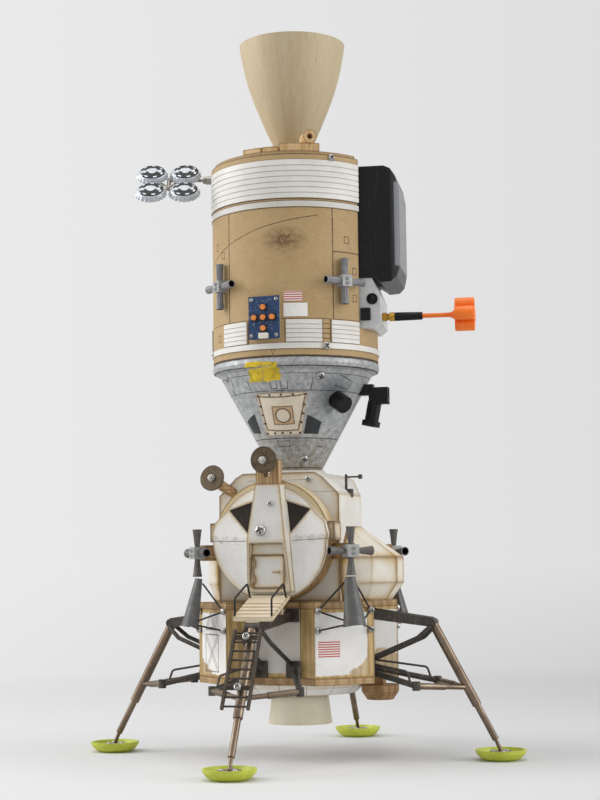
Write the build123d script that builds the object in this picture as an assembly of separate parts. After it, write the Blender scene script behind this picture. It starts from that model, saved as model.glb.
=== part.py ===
from build123d import *
import math
import os

# Handmade model of a lunar lander docked under its command and service module, in millimetres.
# Origin on the floor under the axis, +Z up, front (hatch and ladder leg) at -Y, azimuth 0 = front, 90 = +X.

floor_align = (Align.CENTER, Align.CENTER, Align.MIN)

# Service module, from its lower ring up
service_radius = 77.5
lower_ring_z = 362.0
white_ring_z = 368.4
white_ring_lip = 1.2
service_bottom = 373.4
service_top = 541.0
deck_thick = 5.4
deck_lip = 0.6
lid_thick = 3.1
lid_inset = 2.0
deck_top = service_top + deck_thick + lid_thick
# columns: outside radius, height, from the bell's neck to its rim
bell_profile = [(20.9, 576.5), (24.2, 583.6), (33.2, 605.1), (38.7, 619.5), (43.2, 634.0), (46.6, 648.0),
                (49.3, 662.4), (50.3, 669.0)]
bell_neck = [(13.0, 555.5), (15.0, 564.0)]
bell_floor = 578.0
bell_wall = 2.6
band_low = 505.8
band_ribs = 7
rib_share = 0.86
strip_low = 497.7
strip_high = 502.8
# columns: start azimuth, end azimuth of each ribbed white panel low on the tube
service_panels = [(-38, -16), (12, 36), (43, 66), (152, 176), (184, 216), (224, 252), (262, 296)]
panel_low = 374.2
panel_high = 394.4
panel_ribs = 5
# columns: start azimuth, end azimuth, height of each curved board on the deck's front rim
deck_boards = [(-20.0, -5.2, 5.0), (-4.4, 7.6, 5.0), (8.6, 37.0, 7.8)]
board_depth = 17.0
peg_azimuth = 30.0
peg_radius = 6.3
peg_hole = 2.3
service_quads = (51.5, 141.5, 231.5, 321.5)
service_quad_z = 430.0
quad_half = 5.2
quad_stand = 9.6

# Battery bay, with the battery, its holder and the whip antenna
bay_azimuth = 99.0
bay_floor = 389.5
bay_half_width = 40.5
bay_depth = service_radius - 41.0
rail_thick = 3.0
battery_gap = 0.5
battery_low = 436.4
holder_gap = 0.4
holder_stand = 7.5
whip_x = -22.0
whip_z = 401.5
# columns: distance from the holder, radius of each step of the whip antenna
whip_steps = [(0, 3.6), (12, 3.6), (12, 4.0), (37, 3.6), (37, 2.1), (64, 2.1), (64, 8), (67, 15), (71, 14),
              (74.5, 9), (78, 14), (82, 15), (85, 8)]

# Control board on the tube
board_azimuth = -2.0
board_size = (29.5, 39.0)
board_z = 396.5
board_stand = 2.6
board_thick = 1.8
switch_half = 3.0
switch_rise = 1.6
button_rise = 2.2
button_radius = 2.4
# columns: x, height of each button about the board's middle
buttons = [(0, 0), (8.7, 0), (-8.7, 0), (0, 9.3), (0, -9.8)]

# Four-cap antenna
boom_azimuth = -71.0
boom_z = 540.0
boom_reach = service_radius + 41.0
boom_radius = 1.55
boom_clear = 0.05
collar_stand = 5.6
flange_gap = 0.3
cap_radius = 15.4
cap_pitch = 15.8
cap_drop = 13.0
cap_tilt = 46.0

# Command module
cone_nose_radius = 22.8
cone_nose_z = 262.0
cone_base_radius = 72.0
cone_base_z = 352.0
panel_z = 312.0
panel_azimuth = 4.0
panel_thick = 1.6
# columns: half width, place along the skin of the hatch panel's upper and lower corners
panel_corners = [(30.5, 21.7), (20.5, -21.7)]
lens_place = (325.0, 58.0)
camera_azimuth = 95.0
camera_z = 327.0
camera_stand = 25.667

# Lander cabin
deck_z = 142.0
drum_z = 196.5
drum_radius = 54.0
drum_bore = 47.5
face_radius = 49.0
face_lower_radius = 53.2
drum_front = -76.0
middle_front = -56.0
middle_back = 50.0
middle_top = 258.0
hatch_low = 154.9
hatch_high = 183.3
hatch_half = 14.2
hatch_front = -84.5
hatch_thick = 3.5
hinge_x = -14.4
hinge_y = -85.6
radar_pivot = (0.0, -80.0, 263.0)
radar_dish_radius = 12.0
side_dish_radius = 11.8
lander_quad_radius = 102.5
lander_quad_z = 186.5
lander_quad_half = 5.5
diagonals = (45.0, 135.0, 225.0, 315.0)

# Descent stage and legs, with t across the leg, r outwards and z up
core_apothem = 64.0
box_out = 88.0
box_half = 30.0
base_low = 69.0
base_high = 75.0
deck_low = 136.0
leg_azimuths = (0.0, 90.0, 180.0, 270.0)
knuckle_r = 127.0
knuckle_z = 121.5
foot_r = 187.0
foot_z = 10.0
pad_rim = 23.0
pad_height = 9.4
elbow = (40.0, 121.0, 67.0)

os.makedirs("parts", exist_ok=True)


def save(name, *shapes):
    # writes one node: every solid of every shape, as a compound when there are several
    solids = []
    for shape in shapes:
        solids.extend(shape.solids())
    node = solids[0] if len(solids) == 1 else Compound(solids)
    export_step(node, "parts/" + name + ".step")


def turn(shape, azimuth):
    # carries a shape built facing the front round to its azimuth
    return Rot(0, 0, azimuth) * shape


def less(shape, *others):
    # cuts every other shape away, so that neighbours meet without sharing space
    for other in others:
        shape = shape - other
    return shape


def joined(shapes):
    whole = shapes[0]
    for shape in shapes[1:]:
        whole = whole + shape
    return whole


def rod(start, end, radius, end_radius=None):
    run = Vector(*end) - Vector(*start)
    place = Plane(origin=start, z_dir=run).location
    if end_radius is None:
        return place * Cylinder(radius, run.length, align=floor_align)
    return place * Cone(radius, end_radius, run.length, align=floor_align)


def beam(start, end, width, height):
    # a straight bar whose width lies level and whose height stands across it
    run = Vector(*end) - Vector(*start)
    level = Vector(0, 0, 1).cross(run)
    place = Plane(origin=start, x_dir=level, z_dir=run).location
    return place * Box(width, height, run.length, align=floor_align)


def wire(points, radius, bend):
    path = FilletPolyline(*points, radius=bend)
    section = Plane(origin=path @ 0, z_dir=path % 0) * Circle(radius)
    return sweep(section, path=path)


def block(x0, x1, y0, y1, z0, z1):
    centre = Pos((x0 + x1) / 2, (y0 + y1) / 2, (z0 + z1) / 2)
    return centre * Box(x1 - x0, y1 - y0, z1 - z0)


def disc_at(z, radius, height):
    return Pos(0, 0, z) * Cylinder(radius, height, align=floor_align)


def upright_points(points):
    # (radius, height) points as places on the XZ plane
    return [(r, 0, z) for r, z in points]


def turned(points):
    # a solid of revolution about the upright axis, from (radius, height) points
    return revolve(make_face(Polyline(*upright_points(points), close=True)), axis=Axis.Z)


def turned_part(points, start, end):
    # the same, kept between two azimuths
    face = make_face(Polyline(*upright_points(points), close=True))
    return Rot(0, 0, start - 90) * revolve(face, axis=Axis.Z, revolution_arc=end - start)


def across(points, y0, y1):
    # a prism along Y from (x, z) points
    face = make_face(Polyline(*[(x, y0, z) for x, z in points], close=True))
    return extrude(face, amount=y1 - y0, dir=(0, 1, 0))


def sideways(points, x0, x1):
    # a prism along X from (y, z) points
    face = make_face(Polyline(*[(x0, y, z) for y, z in points], close=True))
    return extrude(face, amount=x1 - x0, dir=(1, 0, 0))


def upright(points, z0, z1):
    # a prism along Z from (x, y) points
    face = make_face(Polyline(*[(x, y, z0) for x, y in points], close=True))
    return extrude(face, amount=z1 - z0, dir=(0, 0, 1))


def mirrored(points):
    # closes a right-hand outline into a left-right symmetrical one
    return points + [(-x, z) for x, z in reversed(points)]


def octagon(apothem, z0, z1):
    radius = apothem / math.cos(math.pi / 8)
    corners = []
    for step in range(8):
        angle = math.pi / 8 + step * math.pi / 4
        corners.append((radius * math.cos(angle), radius * math.sin(angle)))
    return upright(corners, z0, z1)


def nozzle(base, direction, length, throat, mouth, bore):
    # a small thruster bell with a blind bore in its mouth
    heading = Vector(*direction).normalized()
    tip = Vector(*base) + heading * length
    bottom = Vector(*base) + heading * length * 0.35
    body = rod(base, tuple(tip), throat, mouth)
    return body - rod(tuple(bottom), tuple(tip + heading), bore * 0.55, bore)


# Descent stage
core = octagon(core_apothem, base_high, deck_low)


def footprint(z0, z1):
    # the core's octagon with the four diagonal boxes, as one plate
    whole = octagon(core_apothem, z0, z1)
    for azimuth in diagonals:
        whole = whole + turn(block(-box_half, box_half, -box_out, -core_apothem + 6, z0, z1), azimuth)
    return whole


descent_deck = footprint(deck_low, deck_z)
descent_base = footprint(base_low, base_high)
box = block(-box_half, box_half, -box_out, -core_apothem + 4, base_high, deck_low)
boxes = [less(turn(box, azimuth), core) for azimuth in diagonals]
save("descent_core", core)
save("descent_plates", descent_deck, descent_base)
save("descent_boxes", *boxes)

shell = turned([(34.0, base_low), (62.0, base_low), (60.0, 64.5), (52.0, 58.0), (34.0, 58.0)])
save("descent_dish", shell)

bell_low = turned([(0, base_low), (12, base_low), (12, 66.5), (20, 65), (26.5, 54), (29.5, 30), (27.2, 30),
                   (24.2, 53), (18, 62), (0, 63)])
save("descent_nozzle", bell_low)

radar_points = [(0, 66), (17, 66), (17, 60), (12, 52.5), (0, 52.5)]
landing_radar = Pos(78, -4, 0) * turned(radar_points)
facets = Pos(78, -4, 0) * Rot(0, 0, 22.5) * extrude(RegularPolygon(16.4, 8, major_radius=False), 80)
landing_radar = less((landing_radar & facets) + block(60, 82, -10, 2, 65, base_high), shell, descent_base)
save("landing_radar", landing_radar)

# Legs, each built facing the front and turned to its azimuth
leg_run = Vector(0, -(foot_r - knuckle_r), foot_z - knuckle_z).normalized()
leg_length = (Vector(0, -foot_r, foot_z) - Vector(0, -knuckle_r, knuckle_z)).length
leg_out = Vector(0, leg_run.Z, -leg_run.Y)
if leg_out.Z < 0:
    leg_out = leg_out * -1


def along_leg(distance, out=0.0, side=0.0):
    point = Vector(0, -knuckle_r, knuckle_z) + leg_run * distance + leg_out * out
    return (side, point.Y, point.Z)


knuckle = rod((-7, -knuckle_r, knuckle_z), (7, -knuckle_r, knuckle_z), 4.0)
outrigger_parts = [knuckle]
for side in (-1, 1):
    arm = beam((side * 4, -knuckle_r + 1, knuckle_z + 0.5), (side * 15, -core_apothem, 130.5), 6.0, 8.5)
    plate = block(side * 15 - 6, side * 15 + 6, -core_apothem - 3, -core_apothem, 124, deck_low)
    outrigger_parts.extend([arm, plate])
outrigger = less(joined(outrigger_parts), core, descent_deck)
sleeve_end = leg_length * 0.66
sleeve = less(rod(along_leg(2), along_leg(sleeve_end), 4.2), outrigger)
piston_low = leg_length * 0.93
piston = rod(along_leg(sleeve_end), along_leg(piston_low), 3.0)
stem = rod(along_leg(piston_low - 1), (0, -foot_r, foot_z - 2), 1.7)
foot_plate = Pos(0, -foot_r, 6.0) * Cylinder(10.0, 2.0, align=floor_align)
foot_hub = Pos(0, -foot_r, 3.2) * Cylinder(5.0, 3.5, align=floor_align)
foot = less(piston + stem + foot_plate + foot_hub, sleeve)
pad_points = [(0, 0), (14.5, 0), (18.8, 2.4), (pad_rim - 0.8, 6.4), (pad_rim, pad_height),
              (pad_rim - 2, pad_height), (pad_rim - 3.4, 6.6), (16.0, 4.2), (13.0, 3.2), (0, 3.2)]
pad = Pos(0, -foot_r, 0) * turned(pad_points)

strut_joint = along_leg(leg_length * 0.52)
side_struts = []
trusses = []
truss_foot = -core_apothem - 1
for side in (-1, 1):
    bend_at = (side * elbow[0], -elbow[1], elbow[2])
    hinge = Pos(bend_at[0], bend_at[1], bend_at[2] - 4) * Cylinder(3.6, 8.0, align=floor_align)
    half_way = tuple(0.45 * a + 0.55 * b for a, b in zip(bend_at, strut_joint))
    strut = rod(bend_at, half_way, 2.9) + rod(half_way, strut_joint, 2.2)
    side_struts.append(less(strut, hinge, sleeve))
    plate = block(side * 15 - 6, side * 15 + 6, -core_apothem - 3, -core_apothem, base_high, 90)
    arm = rod((side * 16, truss_foot, 80), bend_at, 2.7)
    lock_run = [(side * 14, truss_foot, 86.5), (side * 12, -116, 108), (side * 8.5, -knuckle_r, 118)]
    lock = wire(lock_run, 2.0, 6.0)
    hoop_run = [(side * 19, truss_foot, 87), (side * 36.5, -112, 79.5), (side * 38, -115.5, 68.6)]
    hoop = wire(hoop_run, 1.0, 4.0)
    truss = less(joined([plate, arm, hinge, lock, hoop]), core, descent_base, outrigger, sleeve)
    trusses.append(truss)

leg_pieces = {"leg_outriggers": [outrigger], "leg_sleeves": [sleeve], "leg_pistons": [foot],
              "footpads": [pad], "leg_side_struts": side_struts, "leg_trusses": trusses}
for name, pieces in leg_pieces.items():
    save(name, *[turn(piece, azimuth) for azimuth in leg_azimuths for piece in pieces])

# Porch, rails and ladder over the front leg
porch_back = (-80.0, 149.0)
porch_front = (-knuckle_r - 1, 130.5)
porch_half = 18.0
slat_pitch = 7.2
slat_gap = 1.2
slat_count = 4
porch_slope = (porch_front[1] - porch_back[1]) / (porch_front[0] - porch_back[0])


def porch_top(y):
    return porch_back[1] + (y - porch_back[0]) * porch_slope


def porch_slab(far, near, top, bottom):
    # a sloping slab between two places along the porch, from one depth under its top to another
    outline = [(far, porch_top(far) - top), (near, porch_top(near) - top), (near, porch_top(near) - bottom),
               (far, porch_top(far) - bottom)]
    return sideways(outline, -porch_half, porch_half)


porch_parts = [porch_slab(porch_back[0], porch_front[0], 1.4, 4.0)]
porch_parts.append(porch_slab(porch_back[0], porch_front[0] + slat_count * slat_pitch, 0.0, 2.0))
for step in range(slat_count):
    near = porch_front[0] + step * slat_pitch
    porch_parts.append(porch_slab(near + slat_pitch - slat_gap, near, 0.0, 2.0))
post_y = porch_back[0] - 10
post_top = porch_top(post_y) - 2
for side in (-1, 1):
    porch_parts.append(block(side * 11 - 2.5, side * 11 + 2.5, post_y, post_y + 5, 126, post_top))
porch_parts.append(block(-6, 6, -knuckle_r - 1, -knuckle_r + 3, knuckle_z, porch_top(-knuckle_r) - 3))
porch = less(joined(porch_parts), outrigger, descent_deck)
save("porch", porch)

rails = []
rail_y = porch_front[0] + 2
rail_back = porch_back[0] - 6
rail_rise = 15.2
for side in (-1, 1):
    x = side * (porch_half - 1.2)
    rail = wire([(x, rail_y, porch_top(rail_y) - 2), (x, rail_y, porch_top(rail_y) + rail_rise),
                 (x, rail_back - 8, porch_top(rail_back - 8) + rail_rise),
                 (x, rail_back, porch_top(rail_back) - 2)], 0.9, 3.5)
    rails.append(less(rail, porch))
save("porch_rails", *rails)

ladder_parts = []
ladder_half = 11.6
for side in (-1, 1):
    x = side * ladder_half
    ladder_parts.append(beam(along_leg(7, 10, x), along_leg(80, 10, x), 2.4, 3.0))
for step in range(9):
    here = 10 + step * 8.4
    ladder_parts.append(rod(along_leg(here, 10, -ladder_half), along_leg(here, 10, ladder_half), 0.9))
for here in (14.2, 60.4):
    ladder_parts.append(beam(along_leg(here, 10, -ladder_half), along_leg(here, 10, ladder_half), 2.4, 4.0))
    ladder_parts.append(rod(along_leg(here, 1), along_leg(here, 10), 2.0))
ladder = less(joined(ladder_parts), sleeve, porch)
save("ladder", ladder)

# Plume deflectors: half cones under the lander's thrusters, each on wires to the box below
cone_top = (0, -99, 163)
cone_bottom = (0, -107, 120)
skin = rod(cone_top, cone_bottom, 5.4, 10.8) - rod(cone_top, cone_bottom, 4.2, 9.6)
inner_half = sideways([(-99, 170), (-107, 115), (-70, 115), (-70, 170)], -20, 20)
deflector = skin - inner_half
stays = []
for side in (-1, 1):
    x = side * (box_half - 3.5)
    upper_screw = rod((x, -box_out, 134), (x, -box_out - 2, 134), 2.4)
    lower_screw = rod((x, -box_out, 117), (x, -box_out - 2, 117), 2.4)
    start_high = (x, -box_out - 1, 134)
    start_low = (x, -box_out - 1, 117)
    stays.append(joined([upper_screw, rod(start_high, (side * 5.2, -99.6, 159), 0.8),
                         rod(start_high, (side * 9.6, -106.5, 126), 0.8)]))
    stays.append(joined([lower_screw, rod(start_low, (side * 10.0, -107.2, 122), 0.8)]))
stays = [less(stay, deflector) for stay in stays]
save("plume_deflectors", *[turn(deflector, azimuth) for azimuth in diagonals])
save("deflector_stays", *[turn(stay, azimuth) for azimuth in diagonals for stay in stays])

# Lander cabin
middle_outline = mirrored([(34, middle_top), (41, 254), (57.0, 238), (58.5, 205), (58.5, deck_z)])
plan = [(-57, middle_front), (57, middle_front), (58.5, -20), (58.5, 12), (40, middle_back),
        (-40, middle_back), (-58.5, 12), (-58.5, -20)]
middle = across(middle_outline, middle_front, middle_back) & upright(plan, deck_z, middle_top)
save("lander_middle", middle)

front_turn = Rot(90, 0, 0)


def drum_cylinder(radius, y0, y1):
    return Pos(0, y1, drum_z) * front_turn * Cylinder(radius, y1 - y0, align=floor_align)


drum_room = drum_cylinder(drum_bore, drum_front - 1, middle_front + 1)
drum = drum_cylinder(drum_radius, drum_front, middle_front) - drum_room
save("cabin_drum", drum)

# the face is a disc with ears, wider below them, folded along a level line
ears = mirrored([(40, 224), (51.5, 213), (54.5, 201), (53, 194), (46, 188)])
below_ears = block(-70, 70, -95, drum_front, deck_z, drum_z - 2.5)
lower_disc = drum_cylinder(face_lower_radius, -95, drum_front) & below_ears
disc = drum_cylinder(face_radius, -95, drum_front) + across(ears, -95, drum_front) + lower_disc
wedge = sideways([(drum_front, 260), (-77, 260), (-78, 246), (-83, 199), (-83, 194), (-78, 147), (-77, 140),
                  (drum_front, 140)], -70, 70)
face = disc & wedge

# columns: half width and y of the nose's front edge, half width of its back edge, height
# rows: the nose's top, fold and foot
nose_rows = [(11.3, -86.5, 14.0, 246.5), (17.8, -92.0, 22.5, 197.0), (20.5, -83.5, 23.5, 150.5)]


def nose_quad(upper, lower, back):
    # one face of the nose between two rows, on its front or on its wider back
    corners = []
    for half, front_y, back_half, z in (upper, lower):
        wide = back_half if back else half
        y = drum_front if back else front_y
        corners.append(((-wide, y, z), (wide, y, z)))
    (a, b), (c, d) = corners
    return make_face(Polyline(a, b, d, c, close=True))


nose_top, nose_fold, nose_foot = nose_rows
nose = loft([nose_quad(nose_top, nose_fold, False), nose_quad(nose_top, nose_fold, True)], ruled=True)
lower_quads = [nose_quad(nose_fold, nose_foot, False), nose_quad(nose_fold, nose_foot, True)]
nose = nose + loft(lower_quads, ruled=True)
recess = across(mirrored([(15.2, 194.0), (18.0, 149)]), -100, hatch_front)
doorway = block(-hatch_half - 0.4, hatch_half + 0.4, -100, -60, hatch_low - 0.4, hatch_high + 0.4)
nose = less(nose, recess, doorway)
# columns: low, high of the two hinge lugs on the nose and of the two barrels on the hatch
lugs = [(156.0, 158.0), (180.2, 182.2)]
barrels = [(159.0, 165.0), (173.2, 179.2)]
for low, high in lugs:
    nose = nose + Pos(hinge_x, hinge_y, low) * Cylinder(1.0, high - low, align=floor_align)
    nose = nose + block(-18.0, hinge_x, hinge_y - 0.8, hatch_front + 0.4, low, high) - doorway
nose = nose + Pos(hinge_x, hinge_y, lugs[0][0]) * Cylinder(0.6, lugs[1][1] - lugs[0][0], align=floor_align)

# right-hand window corners as (x, z)
window = [(13.5, 232.0), (38.0, 224.0), (18.0, 201.0)]
panes = []
behind_face = block(-60, 60, drum_front, -50, 140, 260)
for side in (1, -1):
    prism = across([(side * x, z) for x, z in window], -90, -60)
    panes.append(less(prism & (Pos(0, 0.8, 0) * face), drum, behind_face))
    face = face - prism
nose = less(nose, face, drum)
face = face - doorway
save("cabin_face", face)
save("cabin_nose", nose)
save("cabin_windows", *[less(pane, nose) for pane in panes])

leaf = block(-hatch_half, hatch_half, hatch_front, hatch_front + hatch_thick, hatch_low, hatch_high)
leaf = fillet(leaf.edges().filter_by(Axis.Y).group_by(Axis.X)[-1], 3.0)
for low, high in barrels:
    leaf = leaf + block(hinge_x, hinge_x + 2.2, hinge_y - 0.5, hatch_front + 0.2, low, high)
    leaf = leaf + Pos(hinge_x, hinge_y, low) * Cylinder(1.0, high - low, align=floor_align)
leaf = leaf - Pos(hinge_x, hinge_y, 150) * Cylinder(0.65, 40, align=floor_align)
leaf = leaf + rod((10, hatch_front + 0.5, 168.5), (10, hatch_front - 3, 168.5), 0.8)
leaf = leaf + rod((11, hatch_front - 2.4, 168.5), (4.5, hatch_front - 2.4, 168.5), 0.8)
save("hatch", leaf)

# Side boxes between the face's ears and the middle
side_boxes = []
for x0, x1 in ((48, 58.5), (-58.5, -48)):
    side_boxes.append(less(block(x0, x1, -75.5, middle_front, 196, 213), drum))
save("cabin_side_boxes", *side_boxes)

# Tank bays: faceted bulges whose outline at each height scales between the middle's side and the bay's reach
# columns: share of the reach, half depth at the side, at the shoulder and at the outer face
tank_plan = [(0.0, 44), (0.58, 30), (1.0, 12)]
# columns: height, share of the plan kept at that height
tank_levels = [(deck_z, 0.74), (158, 1.0), (181, 1.0), (209, 0.1)]
tank_middle_y = -12.0
# columns: x inside the middle, at the middle's side and at the bay's reach
tank_sides = {"tank_bay_right": (44, 58.5, 101), "tank_bay_left": (-44, -58.5, -80)}
tank_bays = {}
for name, (inner_x, near_x, far_x) in tank_sides.items():
    levels = []
    for z, share in tank_levels:
        ring = []
        for way in (-1, 1):
            squeeze = way * (0.45 + 0.55 * share)
            edge = [(inner_x, tank_middle_y + tank_plan[0][1] * squeeze, z)]
            for part, half in tank_plan:
                edge.append((near_x + (far_x - near_x) * part * share, tank_middle_y + half * squeeze, z))
            ring.extend(edge if way < 0 else reversed(edge))
        levels.append(make_face(Polyline(*ring, close=True)))
    tank_bays[name] = less(loft(levels, ruled=True), middle)
    save(name, tank_bays[name])

aft = block(-38, 38, middle_back, 64, 150, 226)
save("aft_bay", aft)

# Lander thrusters on their plywood arms: two upright bells and two along the body's side, round each block
arms = []
quad_blocks = []
quad_bells = []
block_near = -lander_quad_radius + lander_quad_half
for azimuth in diagonals:
    arm = turn(block(-7, 7, block_near, -52, lander_quad_z - 7, lander_quad_z + 7), azimuth)
    arms.append(less(arm, middle, drum, drum_room, face, aft, *tank_bays.values()))
    cube = block(-lander_quad_half, lander_quad_half, block_near - 2 * lander_quad_half, block_near,
                 lander_quad_z - lander_quad_half, lander_quad_z + lander_quad_half)
    quad_blocks.append(turn(cube, azimuth))
    for x, z in ((0, 1), (0, -1), (1, 0), (-1, 0)):
        bell = nozzle((4 * x, -lander_quad_radius, lander_quad_z + 4 * z), (x, 0, z), 17.5, 2.3, 4.2, 3.2)
        quad_bells.append(turn(less(bell, cube), azimuth))
save("thruster_arms", *arms)
save("lander_thruster_blocks", *quad_blocks)
save("lander_thrusters", *quad_bells)

# Rendezvous radar on its fork over the nose
_, pivot_y, pivot_z = radar_pivot
fork = block(-10.5, 10.5, -86.5, -75.5, 246.5, 268)
fork = fork - block(-2.8, 2.8, -95, -60, 253, 280)
fork = fork + rod((-10, pivot_y, pivot_z), (10, pivot_y, pivot_z), 1.2)
fork = less(fork, nose, face, drum)
save("radar_fork", fork)

dish = rod((0, pivot_y - 14.0, pivot_z + 4.5), (0, pivot_y - 15.6, pivot_z + 4.5), radar_dish_radius)
dish = dish + block(-2.2, 2.2, pivot_y - 14.2, pivot_y, pivot_z - 2.5, pivot_z + 4)
dish = dish + rod((-2.2, pivot_y, pivot_z), (2.2, pivot_y, pivot_z), 3.2)
dish = dish - rod((-5, pivot_y, pivot_z), (5, pivot_y, pivot_z), 1.26)
save("radar_dish", dish)

# Left dish on a wooden arm, and the small mast on the right shoulder
s_arm = less(beam((-41, -52, 238), (-54, -62, 248.5), 8, 8), middle, drum, face)
save("s_band_arm", s_arm)
s_dish = rod((-58, -70, 254), (-58.2, -71.6, 254.3), side_dish_radius)
s_dish = s_dish + rod((-57.5, -70.6, 252.5), (-53, -60, 247.5), 2.2)
save("s_band_dish", less(s_dish, s_arm))

mast = rod((52, -15, 238), (52, -15, 257), 1.2) + block(46, 58, -18, -12, 236, 243.5)
mast = mast + rod((52, -15, 254.5), (65, -15, 254.5), 0.8) + block(64, 67, -17, -13, 252.5, 256.5)
save("t_mast", less(mast, middle))

save("docking_collar", disc_at(middle_top, 26, cone_nose_z - middle_top))

# Command module cone and its rolled base ring
cone_slope = (cone_base_radius - cone_nose_radius) / (cone_base_z - cone_nose_z)
cone_tilt = math.degrees(math.atan(cone_slope))


def cone_body(extra):
    # the cone with its radius grown by an extra
    return turned([(0, cone_nose_z), (cone_nose_radius + extra, cone_nose_z),
                   (cone_base_radius + extra, cone_base_z), (0, cone_base_z)])


def cone_radius(z):
    return cone_nose_radius + (z - cone_nose_z) * cone_slope


def on_cone(z, azimuth):
    # a place on the cone's skin whose own -Y looks straight out of the skin and whose Z climbs it
    return Rot(0, 0, azimuth) * Pos(0, -cone_radius(z), z) * Rot(cone_tilt, 0, 0)


cone = cone_body(0)
base_ring = turned([(0, cone_base_z), (service_radius - 3.5, cone_base_z),
                    (service_radius - 0.2, cone_base_z + 1.5), (service_radius + 0.8, cone_base_z + 4.5),
                    (service_radius + 0.3, cone_base_z + 8), (service_radius - 1.5, lower_ring_z),
                    (0, lower_ring_z)])
save("command_cone", cone)
save("command_base", base_ring)

# the hatch panel is a sheet bent round the cone
panel_prism = on_cone(panel_z, panel_azimuth) * across(mirrored(panel_corners), -8, 14)
save("command_hatch", less(panel_prism & cone_body(panel_thick), cone))

lens = on_cone(*lens_place) * rod((0, 4, 0), (0, -13, 0), 8.2)
save("side_lens", lens - cone)

# the camera's places count from its pin: out is away from the cone, up is above the pin
pin_y = -cone_radius(camera_z) - camera_stand


def camera_block(x0, x1, out, inward, low, high):
    return block(x0, x1, pin_y - out, pin_y + inward, camera_z + low, camera_z + high)


def camera_rod(start, end, radius):
    # a rod in the camera's middle plane between two (inward, up) places
    return rod((0, pin_y + start[0], camera_z + start[1]), (0, pin_y + end[0], camera_z + end[1]), radius)


def camera_pin(half, radius):
    return rod((-half, pin_y, camera_z), (half, pin_y, camera_z), radius)


bracket = camera_block(-5, 5, -10, 34, 4, 14) + camera_pin(5, 1.5)
for x0, x1 in ((-5, -2.6), (2.6, 5)):
    bracket = bracket + camera_block(x0, x1, 4, 14, -4.5, 11)
save("camera_bracket", turn(less(bracket, cone), camera_azimuth))
camera = camera_pin(2.3, 4.2) + camera_block(-2.3, 2.3, 0, 14, -4.2, 1.5)
camera = camera + camera_rod((9, -2), (13, -22), 6.5) + camera_rod((12.6, -20), (13.6, -25), 8.5)
camera = less(camera, camera_pin(9, 1.56), camera_rod((13.2, -23), (14, -27), 5.5))
camera = less(camera, camera_block(-6, -2.3, 6, 22, -5, 13), camera_block(2.3, 6, 6, 22, -5, 13))
save("sighting_camera", turn(camera, camera_azimuth))

# Service module: rings, tube with its bay, deck
save("service_lower_ring", disc_at(lower_ring_z, service_radius, white_ring_z - lower_ring_z))
white_ring = disc_at(white_ring_z, service_radius + white_ring_lip, service_bottom - white_ring_z)
save("service_white_ring", white_ring)
bay_reach = service_radius + 60
bay_block = block(-bay_half_width, bay_half_width, -bay_reach, -bay_depth, bay_floor, deck_top + 50)
bay = turn(bay_block, bay_azimuth)
full_tube = disc_at(service_bottom, service_radius, service_top - service_bottom)
tube = full_tube - bay
deck_rim = service_radius + deck_lip
lid_radius = service_radius - lid_inset
lid = disc_at(service_top + deck_thick, lid_radius, lid_thick)
deck = disc_at(service_top, deck_rim, deck_thick) + lid - bay
save("service_tube", tube)
save("service_deck", deck)


def ribs(low, high, count, groove, ridge):
    # outline of a band of raised ribs, as (radius, height)
    pitch = (high - low) / count
    rib_radius = service_radius + ridge
    groove_radius = service_radius + groove
    points = [(service_radius, low)]
    for step in range(count):
        rib_low = low + step * pitch
        rib_high = rib_low + pitch * rib_share
        points.extend([(rib_radius, rib_low), (rib_radius, rib_high)])
        if step < count - 1:
            points.extend([(groove_radius, rib_high), (groove_radius, rib_low + pitch)])
    points[-1] = (rib_radius, high)
    points.append((service_radius, high))
    return points


strip_radius = service_radius + 0.8
strip = [(service_radius, strip_low), (strip_radius, strip_low), (strip_radius, strip_high),
         (service_radius, strip_high)]
bands = [turned(ribs(band_low, service_top, band_ribs, 0.5, 1.0)) - bay, turned(strip) - bay]
save("service_bands", *bands)

panel_outline = ribs(panel_low, panel_high, panel_ribs, 0.7, 1.5)
save("service_panels", *[turned_part(panel_outline, start, end) - bay for start, end in service_panels])

# the bell's side is one smooth curve outside and one inside it, joined at the rim
outside = upright_points(bell_profile)
inside = upright_points([(r - bell_wall, z) for r, z in reversed(bell_profile[1:])])
neck = upright_points([(0, deck_top), (bell_neck[0][0], deck_top)] + bell_neck + bell_profile[:1])
bell_edges = [Polyline(*neck), Spline(*outside), Line(outside[-1], inside[0]), Spline(*inside),
              Polyline(inside[-1], (0, 0, bell_floor), (0, 0, deck_top))]
save("engine_bell", revolve(make_face(bell_edges), axis=Axis.Z))

# boards on the lid's front rim, the tallest with a drilled peg on it
board_outer = lid_radius - 1.0
board_inner = board_outer - board_depth
boards = []
for start, end, height in deck_boards:
    section = [(board_inner, deck_top), (board_outer, deck_top), (board_outer, deck_top + height),
               (board_inner, deck_top + height)]
    boards.append(turned_part(section, start, end))
peg_z = deck_top + deck_boards[-1][2] + peg_radius - 0.5
peg = rod((0, -board_outer - 1, peg_z), (0, -board_inner, peg_z), peg_radius)
peg = peg - rod((0, -board_outer - 2, peg_z), (0, -board_outer + 9, peg_z), peg_hole)
boards[-1] = boards[-1] + turn(peg, peg_azimuth)
save("deck_blocks", *boards)

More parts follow.
